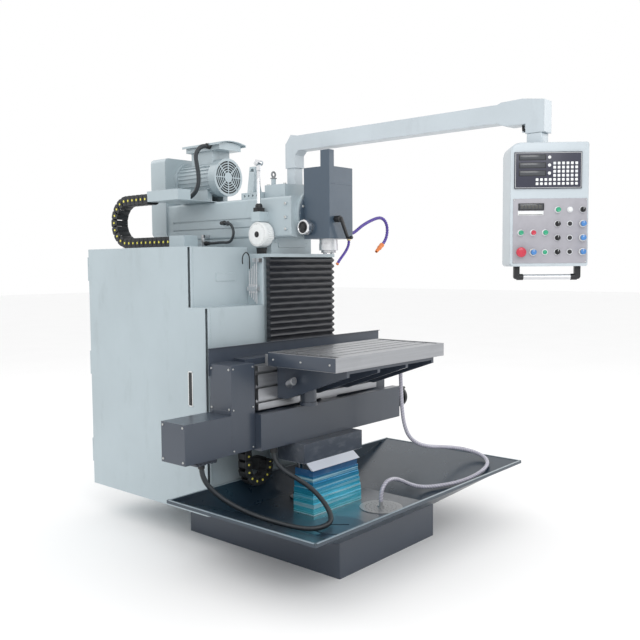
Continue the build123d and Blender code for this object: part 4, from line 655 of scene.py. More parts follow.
class MILL_OT_cable_chains(MillOperator):
    """Links of the two cable chains, with their coloured plugs"""

    bl_idname = "mill.cable_chains"
    bl_label = "Cable chains"

    def straight_places(self, start, end, pitch):
        """Middle point, heading and length of each link along a straight leg."""
        leg = end - start
        count = max(1, round(leg.length / pitch))
        return [(start.lerp(end, (index + 0.5) / count), leg.normalized(), leg.length / count)
                for index in range(count)]

    def link_places(self, legs, centre, radius, angles, pitch):
        """Middle points and headings of the links: down one leg, round the turn and along the other."""
        start, turn_in, turn_out, end = [Vector(corner) for corner in legs]
        places = self.straight_places(start, turn_in, pitch)
        arc = math.radians(abs(angles[1] - angles[0])) * radius
        count = max(3, round(arc / pitch))
        sign = 1 if angles[1] > angles[0] else -1
        for index in range(count):
            angle = math.radians(angles[0] + (angles[1] - angles[0]) * (index + 0.5) / count)
            at = Vector((centre[0] + radius * math.cos(angle), centre[1] + radius * math.sin(angle)))
            heading = Vector((-math.sin(angle), math.cos(angle))) * sign
            places.append((at, heading, arc / count))
        return places + self.straight_places(turn_out, end, pitch)

    def add_links(self, bm, places, lift, span, height, plug_side):
        """Side plates, cross bars and plugs; lift turns a flat place and depth into a point."""
        for at, heading, length in places:
            origin = lift(at, 0.0)
            x_axis = lift(at + heading, 0.0) - origin
            across = lift(at, 1.0) - origin
            place = local_frame(origin, x_axis, across)
            half = length * 0.56
            outline = rounded((-half, -height / 2), (half, height / 2), height * 0.22, 4)
            sheet = 0.007
            add_prism(bm, outline, span[0], span[0] + sheet, place, 0, 0.0012)
            add_prism(bm, outline, span[1] - sheet, span[1], place, 0, 0.0012)
            for side in (-1, 1):
                low = side * height / 2 - 0.003
                add_box(bm, (-length * 0.34, low, span[0] + sheet),
                        (length * 0.34, low + 0.006, span[1] - sheet), 0.001, place)
            face = span[plug_side]
            out = -0.0022 if plug_side == 0 else 0.0022
            add_prism(bm, [(length * 0.13 * math.cos(a), height * 0.13 * math.sin(a)) for a in
                           [math.tau * s / 14 for s in range(14)]], *sorted((face, face + out)), place, 1)

    def execute(self, context):
        low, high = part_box("y_chain")
        pitch = sizes().chain_pitch
        height = 0.060
        z_low, z_high = low.z + 0.031, high.z - 0.031
        radius = (z_high - z_low) / 2
        turn_y = high.y - 0.031 - radius
        legs = [(low.y, z_low), (turn_y, z_low), (turn_y, z_high), (1.106, z_high)]
        places = self.link_places(legs, (turn_y, z_low + radius), radius, (-90, 90), pitch)
        bm = bmesh.new()
        self.add_links(bm, places, lambda at, depth: Vector((depth, at.x, at.y)), (low.x, high.x), height, 0)
        ram_chain = make_piece("ram_chain_links", bm, ["rubber", "yellow"])
        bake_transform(ram_chain)
        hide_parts("y_chain")

        low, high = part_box("z_chain")
        radius = 0.085
        left, right = low.x + 0.026, low.x + 0.026 + 2 * radius
        turn_z = low.z + 0.026 + radius
        legs = [(left, high.z), (left, turn_z), (right, turn_z), (right, 0.470)]
        places = self.link_places(legs, (left + radius, turn_z), radius, (180, 360), pitch)
        bm = bmesh.new()
        self.add_links(bm, places, lambda at, depth: Vector((at.x, -depth, at.y)), (-0.178, -0.118), 0.050, 1)
        add_box(bm, (right - 0.03, 0.178, 0.40), (right + 0.03, 0.252, 0.472), 0.002, None, 0)
        knee_chain = make_piece("knee_chain_links", bm, ["rubber", "yellow"])
        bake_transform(knee_chain)
        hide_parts("z_chain")
        return {"FINISHED"}


def mm(*values):
    """A point given in millimetres."""
    return Vector(values) / 1000


class MILL_OT_conduits(MillOperator):
    """Corrugated conduits on the knee and the ram, with their fittings"""

    bl_idname = "mill.conduits"
    bl_label = "Conduits"

    KNEE_ROUTE = [
        (-945, 80, 563), (-945, 80, 515), (-930, 74, 466), (-898, 64, 418), (-852, 46, 368), (-800, 16, 322),
        (-750, -34, 282), (-712, -98, 256), (-690, -172, 244), (-676, -246, 238), (-644, -318, 226),
        (-586, -372, 214), (-510, -396, 215), (-440, -378, 218), (-392, -336, 240), (-374, -280, 284),
        (-382, -226, 332), (-408, -180, 376), (-448, -138, 414), (-490, -94, 452), (-518, -58, 496),
        (-530, -40, 545), (-530, -40, 590)]
    MOTOR_ROUTE = [
        (-217, 1100, 2034), (-217, 1055, 2034), (-217, 1000, 2040), (-217, 948, 2068), (-217, 916, 2118),
        (-217, 914, 2178), (-220, 926, 2240), (-223, 936, 2303), (-196, 940, 2349), (-150, 940, 2376),
        (-96, 940, 2376)]
    RAM_ROUTE = [
        (-231, 658, 1858), (-231, 620, 1858), (-231, 587, 1834), (-231, 575, 1796), (-231, 587, 1758),
        (-231, 620, 1734), (-231, 690, 1738), (-231, 768, 1733), (-231, 838, 1734)]

    def corrugated(self, bm, route, radius):
        """A ribbed tube along a route; returns the points that it follows."""
        line = spline_line([mm(*point) for point in route], sizes().conduit_pitch / 4)
        ribs = (1.04, 1.04, 0.91, 0.91)
        radii = [radius * ribs[index % 4] for index in range(len(line))]
        add_tube(bm, line, radii, 0, 18)
        return line

    def execute(self, context):
        bm = bmesh.new()
        line = self.corrugated(bm, self.KNEE_ROUTE, 0.0135)
        knee = make_piece("knee_conduit_tube", bm, ["conduit"], sharp=50)
        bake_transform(knee)
        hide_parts("knee_conduit")

        bm = bmesh.new()
        for end in (line[0], line[-1]):
            add_lathe(bm, [(0.0145, -0.030), (0.0185, -0.030), (0.0185, -0.012), (0.0205, -0.012), (0.0205, -0.001),
                           (0.0145, -0.001)], upright(*end), 0, 12)
        make_piece("knee_conduit_glands", bm, ["black"], "knee", 50)

        bm = bmesh.new()
        self.corrugated(bm, self.MOTOR_ROUTE, 0.014)
        self.corrugated(bm, self.RAM_ROUTE, 0.0085)
        gland = [(0, 0), (0.021, 0), (0.021, 0.012), (0.0185, 0.014), (0.0185, 0.030), (0.0145, 0.036)]
        add_lathe(bm, gland, along_x(-0.096, 0.940, 2.376, True), 1, 8)
        small = [(0, -0.034), (0.0125, -0.034), (0.0125, -0.014), (0.0150, -0.012), (0.0150, 0.002), (0.0095, 0.006)]
        add_lathe(bm, small, along_y(-0.231, 0.656, 1.858), 1, 8)
        add_lathe(bm, small, along_y(-0.231, 0.838, 1.734, False), 1, 8)
        add_lathe(bm, [(0.0, 0), (0.010, 0), (0.010, 0.046), (0.016, 0.046), (0.016, 0.051)],
                  local_frame((-0.231, 0.678, 1.858), (0, 1, 0), (1, 0, 0)), 2, 20)
        add_box(bm, (-0.239, 0.852, 1.720), (-0.223, 0.872, 1.790), 0.002, None, 2)
        add_box(bm, (-0.239, 0.852, 1.770), (-0.185, 0.872, 1.790), 0.002, None, 2)
        add_box(bm, (-0.221, 1.094, 2.003), (-0.170, 1.114, 2.062), 0.003, None, 1)
        motor = make_piece("motor_conduit_tubes", bm, ["conduit", "black", "satin"], "ram", 50)
        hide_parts("motor_conduits")
        return {"FINISHED"}


class MILL_OT_drain_hose(MillOperator):
    """The braided drain hose from the table down to the tray's strainer"""

    bl_idname = "mill.drain_hose"
    bl_label = "Drain hose"

    ROUTE = [
        (400, -240, 1015), (400, -240, 950), (399, -243, 870), (399, -247, 780), (400, -252, 690), (406, -262, 600),
        (428, -282, 520), (484, -312, 468), (562, -344, 442), (640, -370, 430), (716, -396, 418), (786, -440, 404),
        (824, -508, 388), (822, -580, 372), (784, -638, 354), (716, -668, 333), (634, -664, 311), (552, -636, 288),
        (480, -588, 269), (424, -524, 254), (376, -458, 243), (324, -412, 250), (266, -388, 276), (204, -380, 308),
        (140, -379, 331), (72, -379, 334), (31, -379, 311), (7, -379, 270), (7, -379, 225)]
    RADIUS = 0.012

    def braided(self, bm, line):
        """A smooth hose wall with a raised spiral along it."""
        add_tube(bm, line, self.RADIUS * 0.98, 0, 20)
        turn = line[0] - line[1]
        side = turn.orthogonal().normalized()
        for strand in range(2):
            spiral = []
            side_now, angle = side.copy(), math.pi * strand
            for index, point in enumerate(line):
                heading = (line[min(index + 1, len(line) - 1)] - line[max(index - 1, 0)]).normalized()
                side_now = (side_now - heading * side_now.dot(heading)).normalized()
                other = heading.cross(side_now)
                angle += 0.42
                spiral.append(point + (side_now * math.cos(angle) + other * math.sin(angle)) * self.RADIUS * 0.95)
            add_tube(bm, spiral, 0.0011, 1, 5)

    def execute(self, context):
        line = spline_line([mm(*point) for point in self.ROUTE], 0.0022)
        split = min(range(len(line)), key=lambda index: abs(line[index].z - 0.60))
        for name, part, bodies, ends in (
                ("drain_hose_upper", line[:split + 1], ("knee", "table"), (0.60, 1.00)),
                ("drain_hose_lower", line[split:], ("base", "knee"), (0.40, 0.60))):
            bm = bmesh.new()
            self.braided(bm, part)
            hose = make_piece(name, bm, ["drain", "white"], sharp=60)
            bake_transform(hose)
            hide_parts("drain_hose")
        return {"FINISHED"}


class MILL_OT_coolant(MillOperator):
    """Jointed coolant hoses on the head, with a tapered nozzle"""

    bl_idname = "mill.coolant"
    bl_label = "Coolant hoses"

    LONG_ROUTE = [
        (134, -50, 1780), (161, -50, 1780), (187, -52, 1790), (214, -56, 1808), (250, -60, 1830), (300, -60, 1851),
        (350, -60, 1868), (400, -60, 1882), (446, -60, 1886), (484, -60, 1870), (507, -60, 1837), (510, -60, 1797),
        (497, -60, 1760), (474, -60, 1731), (450, -60, 1714)]
    SHORT_ROUTE = [
        (94, -80, 1745), (94, -80, 1724), (85, -81, 1700), (67, -82, 1678), (45, -82, 1656), (22, -80, 1634),
        (2, -78, 1614), (-14, -78, 1596)]

    def jointed(self, bm, route, radius, finish_index):
        """Ball-and-socket segments along a route; returns its points."""
        shape = (0.70, 0.86, 0.97, 1.0, 1.0, 0.97, 0.80)
        line = spline_line([mm(*point) for point in route], radius * 1.55 / len(shape))
        radii = [radius * shape[index % len(shape)] for index in range(len(line))]
        add_tube(bm, line, radii, finish_index, 20)
        return line

    def execute(self, context):
        bm = bmesh.new()
        line = self.jointed(bm, self.LONG_ROUTE, 0.0103, 0)
        tip, heading = line[-1], (line[-1] - line[-3]).normalized()
        place = local_frame(tip, heading.orthogonal(), heading)
        add_lathe(bm, [(0.0085, -0.008), (0.0150, -0.005), (0.0155, 0.006), (0.0135, 0.010), (0.0135, 0.022),
                       (0.0150, 0.024), (0.0150, 0.033), (0.0125, 0.037), (0.0100, 0.068), (0.0090, 0.072),
                       (0.0062, 0.072), (0.0062, 0.056)], place, 1, 24)
        add_lathe(bm, [(0.0, 0), (0.014, 0), (0.014, 0.006), (0.017, 0.007), (0.017, 0.018), (0.0135, 0.019),
                       (0.0110, 0.028)], along_x(0.110, -0.050, 1.780), 2, 6)
        self.jointed(bm, self.SHORT_ROUTE, 0.0088, 3)
        add_lathe(bm, [(0.0095, -0.010), (0.0118, -0.008), (0.0118, 0.0)], upright(0.094, -0.080, 1.745), 2, 6)
        tip = mm(-14, -78, 1596)
        heading = mm(-16, 0, -18).normalized()
        add_lathe(bm, [(0.0075, -0.006), (0.0092, -0.003), (0.0092, 0.002), (0.0060, 0.004), (0.0, 0.004)],
                  local_frame(tip, heading.orthogonal(), heading), 1, 18)
        hoses = make_piece("coolant_hoses", bm, ["hose", "orange", "brass", "hose"], "head", 40)
        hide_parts("coolant_nozzle")
        return {"FINISHED"}


class MILL_OT_head_details(MillOperator):
    """Quill lever, feed dial, swivel scale and clamp screws of the milling head"""

    bl_idname = "mill.head_details"
    bl_label = "Head fittings"

    def execute(self, context):
        bm = bmesh.new()
        hub = along_y(-0.053, -0.0983, 1.857)
        add_lathe(bm, [(0.0, -0.034), (0.010, -0.034), (0.010, 0), (0.0175, 0), (0.019, 0.002), (0.019, 0.036),
                       (0.016, 0.040), (0.009, 0.0415), (0.009, 0.039), (0, 0.039)], hub, 0, 32)
        start, end = Vector((-0.053, 1.857)), Vector((0.005, 1.749))
        reach, across = (end - start).length, (end - start).normalized()
        side = Vector((-across.y, across.x))
        outline = []
        for centre, width, first in ((start, 0.0095, 90), (end, 0.0075, -90)):
            for step in range(9):
                angle = math.radians(first + 180 * step / 8)
                point = centre + across * width * math.cos(angle) + side * width * math.sin(angle)
                outline.append((point.x, -point.y))
        flat = local_frame((0, 0, 0), (1, 0, 0), (0, -1, 0))
        outline = [(u, -v) for u, v in outline]
        add_prism(bm, outline, 0.136, 0.149, flat, 0, 0.0015)
        add_lathe(bm, [(0.0, 0), (0.0055, 0), (0.0050, 0.008), (0.0085, 0.012), (0.0098, 0.020), (0.0090, 0.027),
                       (0.0050, 0.031), (0.0, 0.0315)], along_y(end.x, -0.149, end.y), 0, 24)
        lever = make_piece("quill_lever_arm", bm, ["black"], "quill_lever")
        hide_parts("quill_lever")

        bm = bmesh.new()
        dial = along_x(-0.1093, 0.060, 1.812, True)
        add_lathe(bm, [(0.0, -0.027), (0.008, -0.027), (0.008, 0), (0.0345, 0), (0.0355, 0.002), (0.0355, 0.018)],
                  dial, 0, 60)
        add_lathe(bm, [(0.0355, 0.018), (0.0450, 0.019), (0.0465, 0.021), (0.0465, 0.044), (0.0450, 0.050),
                       (0.0400, 0.0537), (0.0350, 0.0537), (0.034, 0.0525), (0.034, 0.0425)], dial, 1, 60)
        add_lathe(bm, [(0.034, 0.0425), (0.019, 0.0425), (0.017, 0.0440), (0.017, 0.0520), (0.015, 0.0532),
                       (0.0, 0.0535)], dial, 2, 40)
        for tick in range(50):
            turn = Matrix.Rotation(math.tau * tick / 50, 4, "Z")
            long = 0.010 if tick % 5 == 0 else 0.006
            add_box(bm, (0.0463, -0.0004, 0.043 - long), (0.0467, 0.0004, 0.043), 0, dial @ turn, 2)
        feed = make_piece("feed_dial_ring", bm, ["satin", "chrome", "black"], "feed_dial")
        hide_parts("feed_dial")

        bm = bmesh.new()
        for tick in range(61):
            angle = math.radians(180 * tick / 60)
            place = local_frame((0.1352 * math.cos(angle), 0.105, 1.895 + 0.1352 * math.sin(angle)),
                                (0, 1, 0), (math.cos(angle), 0, math.sin(angle)))
            long = 0.0045 if tick % 5 == 0 else 0.0025
            add_box(bm, (-long, -0.0003, -0.0003), (long, 0.0003, 0.0003), 0, place, 0)
        make_piece("swivel_scale_marks", bm, ["white"], "head")

        bm = bmesh.new()
        for angle in (20, 50, 130, 160, 200, 230, 310, 340):
            x, z = 0.1255 * math.cos(math.radians(angle)), 1.895 + 0.1255 * math.sin(math.radians(angle))
            screw(bm, along_y(x, 0.0982, z), 0.0085, 0)
        make_piece("swivel_clamp_screws", bm, ["zinc"], "head")
        return {"FINISHED"}


class MILL_OT_ram_details(MillOperator):
    """Speed dial, gear lever, eyebolt and small parts on the ram"""

    bl_idname = "mill.ram_details"
    bl_label = "Ram fittings"

    def ribbed_ring(self, bm, place, radius, low, high, ribs, finish_index):
        """A knurled band."""
        outline = []
        for step in range(ribs * 4):
            angle = math.tau * step / (ribs * 4)
            r = radius if step % 4 in (0, 1) else radius - 0.0022
            outline.append((r * math.cos(angle), r * math.sin(angle)))
        add_prism(bm, outline, low, high, place, finish_index, 0.0006)

    def execute(self, context):
        bm = bmesh.new()
        dial = along_x(-0.188, 0.331, 1.776, True)
        add_lathe(bm, [(0.0, -0.041), (0.012, -0.041), (0.012, 0.0), (0.066, 0.0), (0.068, 0.002), (0.068, 0.016)],
                  dial, 1, 72)
        self.ribbed_ring(bm, dial, 0.074, 0.014, 0.060, 40, 0)
        add_lathe(bm, [(0.072, 0.060), (0.0735, 0.062), (0.0735, 0.079), (0.071, 0.083), (0.060, 0.084),
                       (0.0, 0.084)], dial, 0, 96)
        add_lathe(bm, [(0.018, 0.084), (0.018, 0.0855), (0.013, 0.086), (0.013, 0.090), (0.0, 0.090)], dial, 2, 32)
        for tick in range(40):
            turn = Matrix.Rotation(math.tau * tick / 40, 4, "Z")
            long = 0.013 if tick % 5 == 0 else 0.008
            add_box(bm, (0.069 - long, -0.0004, 0.0838), (0.069, 0.0004, 0.0845), 0, dial @ turn, 2)
        speed = make_piece("speed_dial_wheel", bm, ["white", "satin", "black"], "speed_dial")
        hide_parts("speed_dial")

        bm = bmesh.new()
        lever = upright(-0.230, 0.352, 0)
        add_lathe(bm, [(0.0, 1.880), (0.0088, 1.880), (0.0088, 1.9125), (0.030, 1.9125)], lever, 0, 32)
        self.ribbed_ring(bm, lever, 0.034, 1.9128, 1.936, 24, 0)
        add_lathe(bm, [(0.032, 1.936), (0.022, 1.938), (0.022, 1.950), (0.017, 1.960), (0.011, 1.963)], lever, 0, 40)
        add_lathe(bm, [(0.013, 1.962), (0.0115, 1.966), (0.0115, 2.155), (0.0135, 2.158), (0.0135, 2.190)],
                  lever, 1, 28)
        cap = along_x(-0.259, 0.352, 2.204)
        add_lathe(bm, [(0.0, 0.0), (0.0100, 0.0), (0.0105, 0.003), (0.0165, 0.004), (0.0180, 0.007), (0.0180, 0.051),
                       (0.0165, 0.054), (0.0105, 0.055), (0.0100, 0.058), (0.0, 0.058)], cap, 1, 40)
        gear = make_piece("gear_lever_rod", bm, ["black", "chrome"], "gear_lever")
        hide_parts("gear_lever")

        bm = bmesh.new()
        eye = local_frame((-0.095, 0.358, 2.146), (1, 0, 0), (0, 1, 0))
        ring = [eye @ Vector((0.015 * math.cos(math.tau * s / 28), 0.015 * math.sin(math.tau * s / 28), 0))
                for s in range(29)]
        add_tube(bm, ring, 0.0055, 0, 12, False)
        add_lathe(bm, [(0.020, 2.1200), (0.020, 2.124), (0.011, 2.127), (0.009, 2.134)],
                  upright(-0.095, 0.358, 0), 0, 24)
        for y in (0.425, 0.470, 0.515, 0.550):
            screw(bm, upright(0.040, y, 2.0405), 0.009, 1)
            screw(bm, upright(-0.060, y, 2.0405), 0.009, 1)
        for x, y in ((-0.115, 0.245), (0.045, 0.245), (-0.115, 0.385), (0.045, 0.385)):
            screw(bm, upright(x, y, 2.0805), 0.009, 1)
        for z in (1.805, 1.875, 1.955):
            screw(bm, along_x(-0.191, 0.170, z, True), 0.0085, 1)
        make_piece("ram_eyebolt_and_screws", bm, ["cast", "zinc"], "ram")

        bm = bmesh.new()
        # A black ring behind the fan cover's slots: painted shade, so that the slots read dark.
        low, high = 0.036, 0.1165
        add_lathe(bm, [(low, 0.0), (high, 0.0), (high, 0.0012), (low, 0.0012), (low, 0.0)],
                  local_frame((0, 0.8738, 2.175), (1, 0, 0), (0, 1, 0)), 0, 60)
        for index in range(4):
            angle = math.radians(45 + 90 * index)
            x, z = 0.117 * math.cos(angle), 2.175 + 0.117 * math.sin(angle)
            screw(bm, along_y(x, 0.8668, z), 0.0045, 1)
        make_piece("fan_shade_disc_and_screws", bm, ["black", "zinc"], "ram")

        bm = bmesh.new()
        steps, sheet = 16, 0.004
        half, crown, fall, hem = 0.118, 2.408, 0.016, 2.378
        outer = []
        for step in range(steps + 1):
            share = step / steps * 2 - 1
            outer.append((half * share, crown - fall * share * share))
        outline = [(-half, hem), *outer, (half, hem)]
        inner = [(half - sheet, hem), *[(x * 0.97, z - sheet) for x, z in reversed(outer)], (sheet - half, hem)]
        add_prism(bm, [(x, z) for x, z in reversed(outline + inner)], 0.0, 0.375,
                  local_frame((0, 1.1950, 0), (1, 0, 0), (0, -1, 0)), 0, 0)
        make_piece("motor_lid_sheet", bm, ["pale"], "ram", 30)
        return {"FINISHED"}


def on_panel(depth=0.0):
    """The pendant's front frame: x to the right, y up, z out of the panel."""
    turn = math.radians(38)
    right, out = (math.sin(turn), -math.cos(turn), 0), (-math.cos(turn), -math.sin(turn), 0)
    origin = Vector((0, -1.325, 0)) + Vector(out) * depth
    return local_frame(origin, right, out)


def disc(radius, steps=28):
    return [(radius * math.cos(math.tau * s / steps), radius * math.sin(math.tau * s / steps)) for s in range(steps)]


class MILL_OT_pendant(MillOperator):
    """The control pendant's case, screen, keys, lamps and handle"""

    bl_idname = "mill.pendant"
    bl_label = "Control pendant"

    STEMS = [(76, 1843), (-96, 1736), (-38, 1736), (18, 1736), (192, 1843), (76, 1777), (76, 1711), (76, 1645),
             (192, 1777), (192, 1711), (192, 1645), (-38, 1644)]
    LAMPS = [(133, 1843), (18, 1644), (133, 1777), (133, 1711), (133, 1645)]

    def key(self, bm, u, v, depth, finish_index=3):
        half = sizes().key_size / 2
        outline = rounded((u - half, v - half), (u + half, v + half), 0.0015, 2)
        add_prism(bm, outline, depth, depth + 0.0022, on_panel(), finish_index, 0.0006)

    def execute(self, context):
        panel = on_panel()
        bm = bmesh.new()
        outline = rounded((-0.145, 1.577), (0.219, 2.159), [0.012, 0.042, 0.012, 0.010], 8)
        add_prism(bm, outline, -0.100, 0.100, panel, 0)
        inverse = panel.inverted()
        soft = []
        for edge in bm.edges:
            a, b = (inverse @ vert.co for vert in edge.verts)
            middle = (a + b) / 2
            if abs(a.z - b.z) < 1e-4 and middle.x < -0.100:
                soft.append(edge)
        bmesh.ops.bevel(bm, geom=soft, offset=0.022, segments=6, profile=0.5, affect="EDGES", clamp_overlap=True)
        add_box(bm, (-0.0385, -1.3635, 2.156), (0.0385, -1.2865, 2.2147), 0.004, None, 0)
        add_box(bm, (-0.0460, -1.3710, 2.157), (0.0460, -1.2790, 2.1635), 0.002, None, 0)
        add_lathe(bm, [(0.024, 2.210), (0.024, 2.243), (0, 2.243)], upright(0, -1.325, 0), 0, 48)
        add_box(bm, (-0.132, 1.592, 0.0995), (0.214, 1.896, 0.103), 0.001, panel, 1)
        add_box(bm, (-0.128, 1.942, 0.0995), (0.186, 2.114, 0.108), 0.002, panel, 2)
        for low, high in (((-0.124, 1.946), (0.182, 1.9475)), ((-0.124, 2.1085), (0.182, 2.110)),
                          ((-0.124, 1.946), (-0.1225, 2.110)), ((0.1805, 1.946), (0.182, 2.110))):
            add_box(bm, (*low, 0.1078), (*high, 0.1085), 0, panel, 3)
        for row in range(3):
            z = 2.088 - 0.037 * row
            add_box(bm, (-0.108, z - 0.013, 0.1078), (0.018, z + 0.013, 0.1092), 0.001, panel, 7)
            add_box(bm, (-0.104, z - 0.010, 0.1090), (0.014, z + 0.010, 0.1096), 0.0004, panel, 5)
            add_prism(bm, [(0.034 + x, z + y) for x, y in disc(0.0075)], 0.1078, 0.1105, panel, 3, 0.0008)
        for row in range(4):
            for column in range(6):
                self.key(bm, 0.058 + 0.0203 * column, 2.060 - 0.019 * row, 0.1078, 3 if (row + column) % 7 else 4)
        for row in range(2):
            for column in range(10):
                self.key(bm, -0.023 + 0.0203 * column, 1.984 - 0.019 * row, 0.1078)
        add_box(bm, (-0.108, 1.842, 0.1025), (0.012, 1.874, 0.108), 0.0015, panel, 7)
        add_box(bm, (-0.102, 1.846, 0.1078), (0.006, 1.870, 0.1086), 0.0005, panel, 5)
        for window in range(6):
            low = -0.097 + 0.017 * window
            add_box(bm, (low, 1.850, 0.1084), (low + 0.012, 1.866, 0.1089), 0.0002, panel, 11)
        add_box(bm, (-0.110, 1.818, 0.1025), (0.010, 1.838, 0.105), 0.001, panel, 3)
        add_box(bm, (-0.106, 1.8205, 0.1048), (0.006, 1.8225, 0.1054), 0, panel, 7)
        for u, v in self.STEMS:
            stem = panel @ Matrix.Translation(Vector((u / 1000, v / 1000, 0)))
            big = 0.020 if (u, v) == (-96, 1644) else 0.015
            add_lathe(bm, [(0.0066, 0.1062), (0.0090, 0.1070), (big - 0.002, 0.1068), (big, 0.1055), (big, 0.1028)],
                      stem, 4, 32)
        stop = panel @ Matrix.Translation(Vector((-0.096, 1.644, 0)))
        add_lathe(bm, [(0.0066, 0.1062), (0.0090, 0.1070), (0.018, 0.1068), (0.020, 0.1055), (0.020, 0.1028)],
                  stop, 4, 32)
        for index, (u, v) in enumerate(self.LAMPS):
            lamp = panel @ Matrix.Translation(Vector((u / 1000, v / 1000, 0)))
            add_lathe(bm, [(0.0105, 0.1080), (0.0125, 0.1080), (0.014, 0.1070), (0.014, 0.1028)], lamp, 4, 32)
            add_lathe(bm, [(0, 0.1150), (0.004, 0.1148), (0.0078, 0.1136), (0.0100, 0.1112), (0.0105, 0.1080)],
                      lamp, (3, 8, 7, 7, 7)[index], 28)
        for u in (-0.103, 0.185):
            outline = rounded((u - 0.013, 1.515), (u + 0.013, 1.579), [0.002, 0.002, 0.013, 0.013], 6)
            add_prism(bm, outline, 0.031, 0.061, panel, 7, 0.003)
        bar = panel @ Matrix.Translation(Vector((-0.103, 1.526, 0.046))) @ Matrix.Rotation(math.pi / 2, 4, "Y")
        add_lathe(bm, [(0, 0), (0.0125, 0), (0.0125, 0.288), (0, 0.288)], bar, 9, 32)
        for end in (0.012, 0.268):
            add_lathe(bm, [(0.0126, end - 0.012), (0.0150, end - 0.010), (0.0150, end + 0.018),
                           (0.0126, end + 0.020)],
                      bar, 7, 32)
        for u in (-0.126, 0.208):
            for v in (1.598, 1.890):
                screw(bm, panel @ Matrix.Translation(Vector((u, v, 0.1032))), 0.0032, 10)
        case = make_piece("pendant_box", bm, ["arm", "face", "screen", "white", "bezel", "window", "face", "black",
                                              "green", "satin", "zinc", "digit"], "pendant")
        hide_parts("pendant_case")

        bm = bmesh.new()
        clamp = [mm(0, -1280.5, 2236), mm(0, -1262, 2236), mm(0, -1253, 2238), mm(0, -1252, 2248), mm(0, -1252, 2292)]
        add_tube(bm, clamp, [0.0088, 0.0088, 0.0086, 0.0080, 0.0076], 0, 16)
        add_lathe(bm, [(0.0, -0.012), (0.006, -0.011), (0.009, -0.005), (0.009, 0.002), (0.0, 0.005)],
                  upright(0, -1.252, 2.290), 0, 20)
        make_piece("arm_clamp_lever", bm, ["black"], "arm")
        return {"FINISHED"}


class MILL_OT_controls(MillOperator):
    """Push buttons, selectors and knobs, each on its own body"""

    bl_idname = "mill.controls"
    bl_label = "Buttons and knobs"

    BUTTONS = {"start_button": (76, 1843, "green"), "jog_button_1": (-96, 1736, "green"),
               "jog_button_2": (-38, 1736, "red"), "jog_button_3": (18, 1736, "green")}
    SELECTORS = {"mode_selector": (192, 1843), "axis_selector_1": (76, 1777), "axis_selector_2": (76, 1711),
                 "axis_selector_3": (76, 1645)}
    KNOBS = {"feed_knob_1": (192, 1777), "feed_knob_2": (192, 1711), "feed_knob_3": (192, 1645),
             "spindle_knob": (-38, 1644)}

    def seat(self, u, v):
        return on_panel() @ Matrix.Translation(Vector((u / 1000, v / 1000, 0)))

    def execute(self, context):
        for name, (u, v, colour) in self.BUTTONS.items():
            bm = bmesh.new()
            seat = self.seat(u, v)
            add_lathe(bm, [(0, 0.078), (0.010, 0.078), (0.010, 0.084), (0.006, 0.084), (0.006, 0.1125),
                           (0.0112, 0.1125), (0.0120, 0.1135), (0.0120, 0.1190)], seat, 1, 36)
            add_lathe(bm, [(0.0120, 0.1190), (0.0112, 0.1225), (0.0098, 0.1240), (0.0070, 0.1233), (0, 0.1230)],
                      seat, 0, 36)
            piece = make_piece(name + "_cap", bm, [colour, "bezel"], name)
            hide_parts(name)

        bm = bmesh.new()
        seat = self.seat(-96, 1644)
        add_lathe(bm, [(0, 0.078), (0.011, 0.078), (0.011, 0.084), (0.006, 0.084), (0.006, 0.1125), (0.0140, 0.1125),
                       (0.0145, 0.1165), (0.0235, 0.1205), (0.0240, 0.1235), (0.0232, 0.1275), (0.0195, 0.1306),
                       (0.0120, 0.1320), (0, 0.1323)], seat, 0, 44)
        piece = make_piece("emergency_stop_cap", bm, ["red"], "emergency_stop")
        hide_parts("emergency_stop")

        for name, (u, v) in self.SELECTORS.items():
            bm = bmesh.new()
            seat = self.seat(u, v)
            add_lathe(bm, [(0, 0.080), (0.006, 0.080), (0.006, 0.1073), (0.0125, 0.1073), (0.0130, 0.1080),
                           (0.0130, 0.1140), (0.0118, 0.1153), (0, 0.1153)], seat, 0, 36)
            outline = rounded((-0.0044, -0.0118), (0.0044, 0.0118), 0.0040, 5)
            add_prism(bm, outline, 0.115, 0.1270, seat, 0, 0.0015)
            add_box(bm, (-0.0008, 0.002, 0.1266), (0.0008, 0.0110, 0.1273), 0.0002, seat, 1)
            piece = make_piece(name + "_lever", bm, ["black", "white"], name)
            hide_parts(name)

        for name, (u, v) in self.KNOBS.items():
            bm = bmesh.new()
            seat = self.seat(u, v)
            add_lathe(bm, [(0, 0.080), (0.006, 0.080), (0.006, 0.1073), (0.0165, 0.1073), (0.0170, 0.1080),
                           (0.0165, 0.1115), (0.0135, 0.1153)], seat, 1, 40)
            outline = []
            for step in range(72):
                angle = math.tau * step / 72
                radius = 0.0130 if step % 4 < 2 else 0.0124
                outline.append((radius * math.cos(angle), radius * math.sin(angle)))
            add_prism(bm, outline, 0.1150, 0.1308, seat, 0, 0.0008)
            add_box(bm, (-0.0008, 0.002, 0.1306), (0.0008, 0.0118, 0.1316), 0.0002, seat, 1)
            piece = make_piece(name + "_cap", bm, ["blue", "white"], name)
            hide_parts(name)
        return {"FINISHED"}


